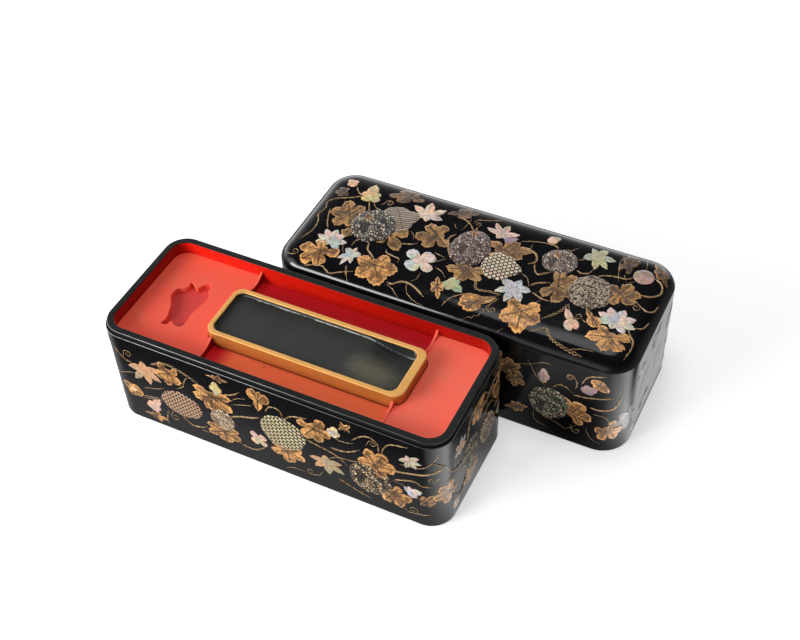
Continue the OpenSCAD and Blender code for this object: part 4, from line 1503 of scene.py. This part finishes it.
class INKBOX_OT_stage(InkBoxStep, bpy.types.Operator):
    """Camera, lamps, world and floor"""

    bl_idname = "inkbox.stage"
    bl_label = "Stage"

    def execute(self, context):
        studio = context.scene.ink_box_studio
        self.add_camera(context, studio)
        self.add_world(context)
        self.add_floor(context)
        for name in LAMPS:
            lamp = self.add_lamp(name, getattr(studio, name))
            # Lacquer would mirror the lamp overhead as a hard spot.
            lamp.visible_glossy = name != "top"
        context.scene.view_settings.view_transform = "Standard"
        return {"FINISHED"}

    def add_camera(self, context, studio):
        deselect()
        bpy.ops.object.camera_add(location=studio.place)
        camera = context.object
        az, el, roll = studio.azimuth, studio.elevation, studio.roll
        forward = Vector((-math.sin(az) * math.cos(el), math.cos(az) * math.cos(el), -math.sin(el)))
        level_right = Vector((math.cos(az), math.sin(az), 0))
        level_up = level_right.cross(forward)
        right = math.cos(roll) * level_right + math.sin(roll) * level_up
        up = -math.sin(roll) * level_right + math.cos(roll) * level_up
        turn = Matrix((right, up, -forward)).transposed().to_4x4()
        camera.matrix_world = Matrix.Translation(Vector(studio.place)) @ turn
        camera.data.lens = studio.lens
        camera.data.sensor_width = 36
        camera.data.clip_start = 0.05
        camera.data.clip_end = 20
        context.scene.camera = camera

    def add_world(self, context):
        """White to the camera and a dim fill. Lacquer mirrors a bright band low at the back, on the left."""
        world = bpy.data.worlds.new("studio")
        context.scene.world = world
        world.use_nodes = True
        s = Nodes(world.node_tree)
        path = s.add("LightPath").outputs
        x, y, z = s.split(s.add("TexCoord").outputs["Generated"])
        band = s.product(s.span(z, 0.12, 0.68, 3.0, 0.03), s.span(x, 0.05, 0.45, 1.0, 0.06, smooth=False))
        band = s.product(band, s.span(y, -0.2, 0.3, 0.3, 1.0, smooth=False))
        level = s.blend(path["Is Camera Ray"], s.blend(path["Is Diffuse Ray"], band, FILL_LIGHT), 1.0)
        s.finish_with("OutputWorld", s.add("Background", Color=WHITE, Strength=level))

    def add_floor(self, context):
        """A plain white floor. Lacquer mirrors it at a brightness of its own, place by place."""
        deselect()
        bpy.ops.mesh.primitive_plane_add(size=LARGE_FLOOR, location=(0, 0, 0))
        floor = bpy.context.object
        floor.name = "floor"
        s = Shade("floor", Roughness=1.0, Specular_IOR_Level=0.0, Emission_Color=WHITE)
        path = s.add("LightPath").outputs
        mirrored = s.math("MAXIMUM", path["Is Glossy Ray"], path["Is Transmission Ray"])
        glow = s.product(path["Is Camera Ray"], FLOOR_GLOW)
        bright = self.mirrored_light(s, context.scene.ink_box_sizes)
        s.set(Base_Color=s.mix(mirrored, (0.95, 0.95, 0.95), (0.04, 0.04, 0.04)))
        s.set(Emission_Strength=s.math("MULTIPLY_ADD", mirrored, bright, glow))
        paint(floor, s.material)

    def mirrored_light(self, s, sizes):
        """How bright lacquer mirrors the floor: brighter to the right, dark along the lid's foot."""
        at = s.place()
        x, y, _ = s.split(at)
        before_box = s.span(y, *BEFORE_BOX_Y, 0.0, 0.36)
        near = s.minus(s.span(x, *RIGHT_OF_BOX_X, before_box, 0.62), s.span(x, *BELOW_LID_X, 0.0, 0.45))
        off_patch = s.vector("MULTIPLY", s.vector("SUBTRACT", at, DARK_PATCH), (0.45, 1.0, 0.0))
        level = s.product(s.span(s.vector("LENGTH", off_patch), *DARK_PATCH_EDGE), near)
        strip = s.product(s.span(x, *BESIDE_LID_X), s.span(x, *BESIDE_LID_END_X, 1, 0))
        right = s.product(strip, s.span(y, *BESIDE_LID_Y, 0.0, 0.7))
        turns = s.math("ADD", self.off_corner(s, x, y, BOX_HIGH, BOX_LOW, sizes.box_corner, 2.2),
                       self.off_corner(s, x, y, LID_HIGH, LID_LOW, lid_corner(sizes), 4.5))
        corner = Vector.Fill(3, lid_corner(sizes))
        past = s.vector("ABSOLUTE", s.vector("SUBTRACT", at, (LID_LOW + LID_HIGH) / 2))
        past = s.vector("MAXIMUM", s.vector("SUBTRACT", past, (LID_HIGH - LID_LOW) / 2 - corner), (0, 0, 0))
        off_lid = s.vector("LENGTH", s.vector("MULTIPLY", past, (1, 1, 0)))
        foot = s.span(off_lid, corner.x + FOOT_LINE[0], corner.x + FOOT_LINE[1])
        return s.product(s.math("ADD", s.math("ADD", level, right), turns), foot)

    def off_corner(self, s, x, y, high, low, radius, amount):
        """Light that only the front right corner of a wall mirrors, by the direction it lies in from it."""
        from_x = s.minus(x, high.x - radius)
        from_y = s.minus(y, low.y + radius)
        turn = s.math("ARCTAN2", from_y, from_x)
        reach = s.math("SQRT", s.math("MULTIPLY_ADD", from_x, from_x, s.product(from_y, from_y)))
        part = s.product(s.span(turn, *CORNER_RISE, 0.0, amount), s.span(turn, *CORNER_FALL, 1, 0))
        part = s.product(part, s.span(reach, radius, CORNER_NEAR, 0.15, 0.9))
        return s.product(part, s.span(reach, *CORNER_REACH, 1, 0))

    def add_lamp(self, name, power):
        place_at, aim, wide, tall = LAMPS[name]
        deselect()
        bpy.ops.object.light_add(type="AREA", location=place_at)
        lamp = bpy.context.object
        lamp.name = name
        lamp.data.shape = "RECTANGLE"
        lamp.data.size = wide
        lamp.data.size_y = tall
        lamp.data.energy = power
        lamp.rotation_mode = "QUATERNION"
        lamp.rotation_quaternion = (Vector(aim) - Vector(place_at)).to_track_quat("-Z", "Y")
        return lamp


def outwards(low, high, centre, normal):
    """How squarely a face looks away from the middle of a ring; below 0 for one that looks in."""
    middle = (low + high) / 2
    return (centre.x - middle.x) * normal.x + (centre.y - middle.y) * normal.y


def facing_in(low, high, steepest=0.75):
    """A test for the faces of a ring that look inwards and are no flatter than asked."""
    return lambda centre, normal: abs(normal.z) < steepest and outwards(low, high, centre, normal) < 0


def outer_edge(low, high):
    """A test for the faces along the middle of a ring's rounded outer top edge."""
    return lambda centre, normal: 0.45 < normal.z < 0.85 and outwards(low, high, centre, normal) > 0


class INKBOX_OT_box(InkBoxStep, bpy.types.Operator):
    """The box: its black wall, vermilion inside, and its floor"""

    bl_idname = "inkbox.box"
    bl_label = "Box"

    def execute(self, context):
        sizes = context.scene.ink_box_sizes
        wall = ring("box_shell", BOX_LOW, BOX_HIGH, sizes.box_corner, sizes.box_wall, BOX_LOW.z, BOX_HIGH.z,
                    sizes.edge_round, sizes.edge_round)
        red = finish(context, "wall_red")
        paint(wall, finish(context, "polished_black"), red, finish(context, "worn_edge"))
        paint_faces(wall, 1, facing_in(BOX_LOW, BOX_HIGH))
        # The rounded outer top edge carries a painted highlight.
        paint_faces(wall, 2, outer_edge(BOX_LOW, BOX_HIGH))
        place(wall, "box", "black_lacquer", "box_wall")
        paint(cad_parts["box_floor"], red)
        return {"FINISHED"}


class INKBOX_OT_tray(InkBoxStep, bpy.types.Operator):
    """The lift-out tray: rim, wall, floor and the decks at both ends"""

    bl_idname = "inkbox.tray"
    bl_label = "Tray"

    def execute(self, context):
        sizes = context.scene.ink_box_sizes
        red = finish(context, "wall_red")
        setback = BOX_HIGH.x - RIM_HIGH.x
        inner = BOX_HIGH.x - TRAY_HIGH.x + sizes.tray_wall
        rim = ring("tray_lip", RIM_LOW, RIM_HIGH, sizes.box_corner - setback, inner - setback, RIM_LOW.z,
                   RIM_HIGH.z, sizes.rim_round)
        paint(rim, finish(context, "rim_lacquer"), red, finish(context, "worn_edge"))
        # The rim's rounded outer top edge carries a painted highlight.
        paint_faces(rim, 2, outer_edge(RIM_LOW, RIM_HIGH))
        paint_faces(rim, 1, facing_in(RIM_LOW, RIM_HIGH, 0.3))
        place(rim, "tray", "black_lacquer", "tray_rim")
        wall = ring("tray_shell", TRAY_LOW, TRAY_HIGH, sizes.box_corner - inner + sizes.tray_wall,
                    sizes.tray_wall, TRAY_LOW.z, TRAY_HIGH.z, 0, sizes.deck_round)
        paint(wall, red)
        place(wall, "tray", "vermilion_lacquer", "tray_wall")
        for node in ("left_deck", "right_deck"):
            deck = softened(node, sizes.deck_round)
            paint(deck, finish(context, "deck_lacquer"))
            place(deck, "tray", "vermilion_lacquer", node)
        paint(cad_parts["tray_floor"], finish(context, "floor_lacquer"))
        return {"FINISHED"}


class INKBOX_OT_bridges(InkBoxStep, bpy.types.Operator):
    """The four scooped bridges that a brush lies on"""

    bl_idname = "inkbox.bridges"
    bl_label = "Bridges"

    def execute(self, context):
        sizes = context.scene.ink_box_sizes
        for node in BRIDGES:
            bridge = self.scooped(node, sizes)
            paint(bridge, finish(context, "deck_lacquer"), finish(context, "shaded_red"))
            # The end faces of the left bridges take the red with painted shade.
            if node.startswith("left"):
                paint_faces(bridge, 1, lambda centre, normal: abs(normal.x) > 0.9)
            place(bridge, "tray", "vermilion_lacquer", node)
        return {"FINISHED"}

    def scooped(self, node, sizes):
        """A thin upright board with a round scoop in its top edge."""
        low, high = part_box(node)
        middle = (low + high) / 2
        tall = (high.z - low.z) / 2
        deselect()
        bpy.ops.mesh.primitive_cube_add(size=1, location=middle)
        board = bpy.context.object
        board.name = board.data.name = node + "_board"
        edit(board)
        bpy.ops.transform.resize(value=high - low)
        radius, dip = sizes.scoop_radius, sizes.scoop_dip
        half = math.sqrt(radius ** 2 - (radius - dip) ** 2)
        for y in np.linspace(-half, half, 21):
            bpy.ops.mesh.select_all(action="SELECT")
            bpy.ops.mesh.bisect(plane_co=(middle.x, middle.y + y, middle.z), plane_no=(0, 1, 0))
        mesh = bmesh.from_edit_mesh(board.data)
        for v in mesh.verts:
            if v.co.z > 0 and abs(v.co.y) < half:
                v.co.z -= math.sqrt(radius ** 2 - v.co.y ** 2) - (radius - dip)
        bmesh.update_edit_mesh(board.data)

        def top_side(edge):
            a, b = edge.verts
            return (abs(a.co.x - b.co.x) < TOUCH and min(a.co.z, b.co.z) > -tall + 10 * TOUCH
                    and abs(a.co.y - b.co.y) > TOUCH)

        round_edges(board, top_side, sizes.deck_round, 3)
        return close_piece(board, 40)


class INKBOX_OT_inkstone(InkBoxStep, bpy.types.Operator):
    """The inkstone: gilt sides and lip, a rubbing face that slopes down to the ink well"""

    bl_idname = "inkbox.inkstone"
    bl_label = "Inkstone"

    def execute(self, context):
        sizes = context.scene.ink_box_sizes
        half = (STONE_HIGH - STONE_LOW) / 2
        tall = STONE_HIGH.z - STONE_LOW.z
        stone = start_plate("inkstone_body", STONE_LOW, STONE_HIGH, sizes.stone_corner, 0, 12)
        middle = stone.location.copy()
        raise_by(tall)
        pick(stone, "faces", lambda f: f.normal.z > 0.9 and f.calc_center_median().z > tall / 2)
        inset(sizes.stone_lip)
        self.open_pool(stone, half, sizes)
        raise_by(-sizes.rub_depth)
        well_end = half.x - sizes.well_lip
        well_start = well_end - sizes.well_length
        slope_start = well_start - sizes.slope_length
        pool_high = Vector((well_end, half.y - sizes.stone_lip))
        pool_low = Vector((sizes.stone_lip - half.x, -pool_high.y))

        def in_pool(centre):
            return (pool_low.x - HAIR < centre.x < pool_high.x + HAIR and abs(centre.y) < pool_high.y + HAIR
                    and HAIR < centre.z < tall - TOUCH)

        for x in np.linspace(slope_start, well_start, 15):
            pick(stone, "faces", lambda f: in_pool(f.calc_center_median()))
            bpy.ops.mesh.bisect(plane_co=(middle.x + x, middle.y, 0), plane_no=(1, 0, 0))
        floor_z = tall - sizes.rub_depth
        mesh = bmesh.from_edit_mesh(stone.data)
        for v in mesh.verts:
            if abs(v.co.z - floor_z) < TOUCH and v.co.x > slope_start:
                t = min(1.0, (v.co.x - slope_start) / sizes.slope_length)
                v.co.z -= (sizes.well_depth - sizes.rub_depth) * t * t * (3 - 2 * t)
        bmesh.update_edit_mesh(stone.data)

        def creased(edge):
            return len(edge.link_faces) == 2 and edge.calc_face_angle(0) > math.radians(50)

        round_edges(stone, lambda e: creased(e) and max(v.co.z for v in e.verts) < floor_z + HAIR
                    and min(v.co.z for v in e.verts) > HAIR, sizes.pool_foot, 3)
        round_edges(stone, lambda e: creased(e) and level(e, tall), sizes.lip_round, 4)
        deselect()
        stone.location = middle + Vector((0, 0, STONE_LOW.z))
        close_piece(stone, 40)
        paint(stone, finish(context, "gilt"), finish(context, "slate"))
        centre = Vector((middle.x, middle.y, STONE_LOW.z))
        shallow = Vector((0, 0, sizes.lip_round))
        paint_faces(stone, 1, lambda at, normal: in_pool(at - centre) and in_pool(at - centre + shallow))
        place(stone, "inkstone", "inkstone", "inkstone")
        return {"FINISHED"}

    def open_pool(self, stone, half, sizes):
        """Moves the picked face's edge to the pool's outline: round corners, and a wider lip at the well."""
        mesh = bmesh.from_edit_mesh(stone.data)
        corner = sizes.stone_corner - sizes.stone_lip / 2
        side = half.y - sizes.stone_lip - corner
        for v in next(f for f in mesh.faces if f.select).verts:
            end = half.x - corner - (sizes.well_lip if v.co.x > 0 else sizes.stone_lip)
            over_x = max(0.0, abs(v.co.x) - half.x + sizes.stone_corner)
            over_y = max(0.0, abs(v.co.y) - half.y + sizes.stone_corner)
            turn = math.atan2(over_y, over_x)
            v.co.x = math.copysign(end + corner * math.cos(turn), v.co.x)
            v.co.y = math.copysign(side + corner * math.sin(turn), v.co.y)
        bmesh.update_edit_mesh(stone.data)


class INKBOX_OT_lid(InkBoxStep, bpy.types.Operator):
    """The deep lid: its wall, and its domed top with a round shoulder"""

    bl_idname = "inkbox.lid"
    bl_label = "Lid"

    def execute(self, context):
        sizes = context.scene.ink_box_sizes
        corner = lid_corner(sizes)
        black, red = finish(context, "polished_black"), finish(context, "wall_red")
        wall = ring("lid_shell", LID_LOW, LID_HIGH, corner, sizes.lid_wall, LID_LOW.z, LID_HIGH.z, 0,
                    sizes.mouth_round)
        paint(wall, finish(context, "quiet_black"), red, finish(context, "rim_lacquer"))
        paint_faces(wall, 1, facing_in(LID_LOW, LID_HIGH))
        paint_faces(wall, 2, lambda centre, normal: normal.z < -0.1)
        place(wall, "lid", "black_lacquer", "lid_wall")
        dome = DomedTop(TOP_LOW, TOP_HIGH, corner, sizes.shoulder, TOP_LOW.z, TOP_HIGH.z)
        cap = start_plate("lid_dome", TOP_LOW, TOP_HIGH, corner, 0, 28)
        middle = cap.location.copy()
        steps = np.concatenate([np.linspace(0, dome.knee, 9), dome.knee + MM * np.arange(1, 15)])
        heights = dome.height(steps)[0]
        for depth0, depth1, z0, z1 in zip(steps, steps[1:], heights, heights[1:]):
            inset(depth1 - depth0, z1 - z0)
        deselect()
        solid = cap.modifiers.new("Thickness", "SOLIDIFY")
        solid.thickness = sizes.lid_wall
        solid.offset = -1
        solid.material_offset = 1
        bpy.context.view_layer.objects.active = cap
        bpy.ops.object.modifier_apply(modifier=solid.name)
        cap.location = middle + Vector((0, 0, TOP_LOW.z))
        close_piece(cap, 30)
        paint(cap, black, red)
        place(cap, "lid", "black_lacquer", "lid_top")
        return {"FINISHED"}


def lay_inlay(context, kind, slot, sides, rings, lift, entries_of, domed=False):
    """Cuts the pieces of one kind out of a blank and lays them on box, lid wall and lid top."""
    blank = start_blank(kind + "_blank", sides, rings)
    for name, faces in surfaces(context.scene.ink_box_sizes):
        entries = [entry for surface, laid in faces for entry in entries_of(surface, laid)]
        place(inlay(name + "_" + kind, blank, entries, lift, domed), name.split("_")[0], slot)
    bpy.data.objects.remove(blank)
    return {"FINISHED"}


def lay_leaves(context, kind, slot, which, finish_name):
    """Lays flat pieces with the outlines of leaves, flowers and buds."""
    def entries_of(surface, laid):
        for shape, x, y, length, width, turn, tone, *over in laid[which]:
            yield (surface, shape, x, y, length, width, turn, finish(context, finish_name), TONES[tone],
                   over[0] if over else 0.0)

    lift = context.scene.ink_box_sizes.inlay_lift
    return lay_inlay(context, kind, slot, LEAF_SIDES, LEAF_RINGS, lift, entries_of)


class INKBOX_OT_gold_leaves(InkBoxStep, bpy.types.Operator):
    """Leaves, flowers and buds of sprinkled gold on every lacquered face"""

    bl_idname = "inkbox.gold_leaves"
    bl_label = "Gold Leaves"

    def execute(self, context):
        return lay_leaves(context, "gold_leaves", "gold_inlay", 0, "sprinkled_gold")


class INKBOX_OT_shell_pieces(InkBoxStep, bpy.types.Operator):
    """Leaves, petals and buds of mother-of-pearl on every lacquered face"""

    bl_idname = "inkbox.shell_pieces"
    bl_label = "Shell Pieces"

    def execute(self, context):
        return lay_leaves(context, "shell_pieces", "shell_inlay", 1, "shell")


class INKBOX_OT_melons(InkBoxStep, bpy.types.Operator):
    """Melons of broken shell, netting and gold bands"""

    bl_idname = "inkbox.melons"
    bl_label = "Melons"

    def execute(self, context):
        def entries_of(surface, laid):
            for x, y, wide, tall, turn, kind, *over in laid[2]:
                shape = "gourd" if kind in {"beige_net", "shell_squares"} else "melon"
                yield (surface, shape, x, y, wide, tall, turn, finish(context, kind), (1, 1, 1),
                       over[0] if over else 0.0)

        lift = context.scene.ink_box_sizes.melon_lift
        return lay_inlay(context, "melons", "shell_inlay", MELON_SIDES, MELON_RINGS, lift, entries_of, True)


class INKBOX_OT_vines(InkBoxStep, bpy.types.Operator):
    """Stems, braids and curling tendrils of gold"""

    bl_idname = "inkbox.vines"
    bl_label = "Vines"

    def execute(self, context):
        sizes = context.scene.ink_box_sizes
        for name, faces in surfaces(sizes):
            entries = [(surface, *vine) for surface, laid in faces for vine in laid[3]]
            vines = lay_vines(name + "_vines", entries, finish(context, "vine_gold"), sizes.vine_radius)
            place(vines, name.split("_")[0], "gold_inlay")
        return {"FINISHED"}


STEPS = (INKBOX_OT_stage, INKBOX_OT_box, INKBOX_OT_tray, INKBOX_OT_bridges, INKBOX_OT_inkstone, INKBOX_OT_lid,
         INKBOX_OT_gold_leaves, INKBOX_OT_shell_pieces, INKBOX_OT_melons, INKBOX_OT_vines)


class INKBOX_PT_panel(bpy.types.Panel):
    """Lists the steps and what they are made from"""

    bl_idname = "INKBOX_PT_panel"
    bl_label = "Ink Box"
    bl_space_type = "VIEW_3D"
    bl_region_type = "UI"
    bl_category = "Ink Box"

    def draw(self, context):
        column = self.layout.column()
        for step in STEPS:
            column.operator(step.bl_idname)
        scene = context.scene
        for group in (scene.ink_box_sizes, scene.ink_box_colours, scene.ink_box_studio):
            box = self.layout.box()
            for key in group.bl_rna.properties.keys():
                if key not in {"rna_type", "name"}:
                    box.prop(group, key)


CLASSES = (InkBoxSizes, InkBoxColours, InkBoxStudio, *STEPS, INKBOX_PT_panel)


def register():
    for cls in CLASSES:
        bpy.utils.register_class(cls)
    bpy.types.Scene.ink_box_sizes = PointerProperty(type=InkBoxSizes)
    bpy.types.Scene.ink_box_colours = PointerProperty(type=InkBoxColours)
    bpy.types.Scene.ink_box_studio = PointerProperty(type=InkBoxStudio)


def unregister():
    del bpy.types.Scene.ink_box_studio
    del bpy.types.Scene.ink_box_colours
    del bpy.types.Scene.ink_box_sizes
    for cls in reversed(CLASSES):
        bpy.utils.unregister_class(cls)


def main():
    register()
    for step in STEPS:
        group, action = step.bl_idname.split(".")
        getattr(getattr(bpy.ops, group), action)()


if __name__ == "__main__":
    main()
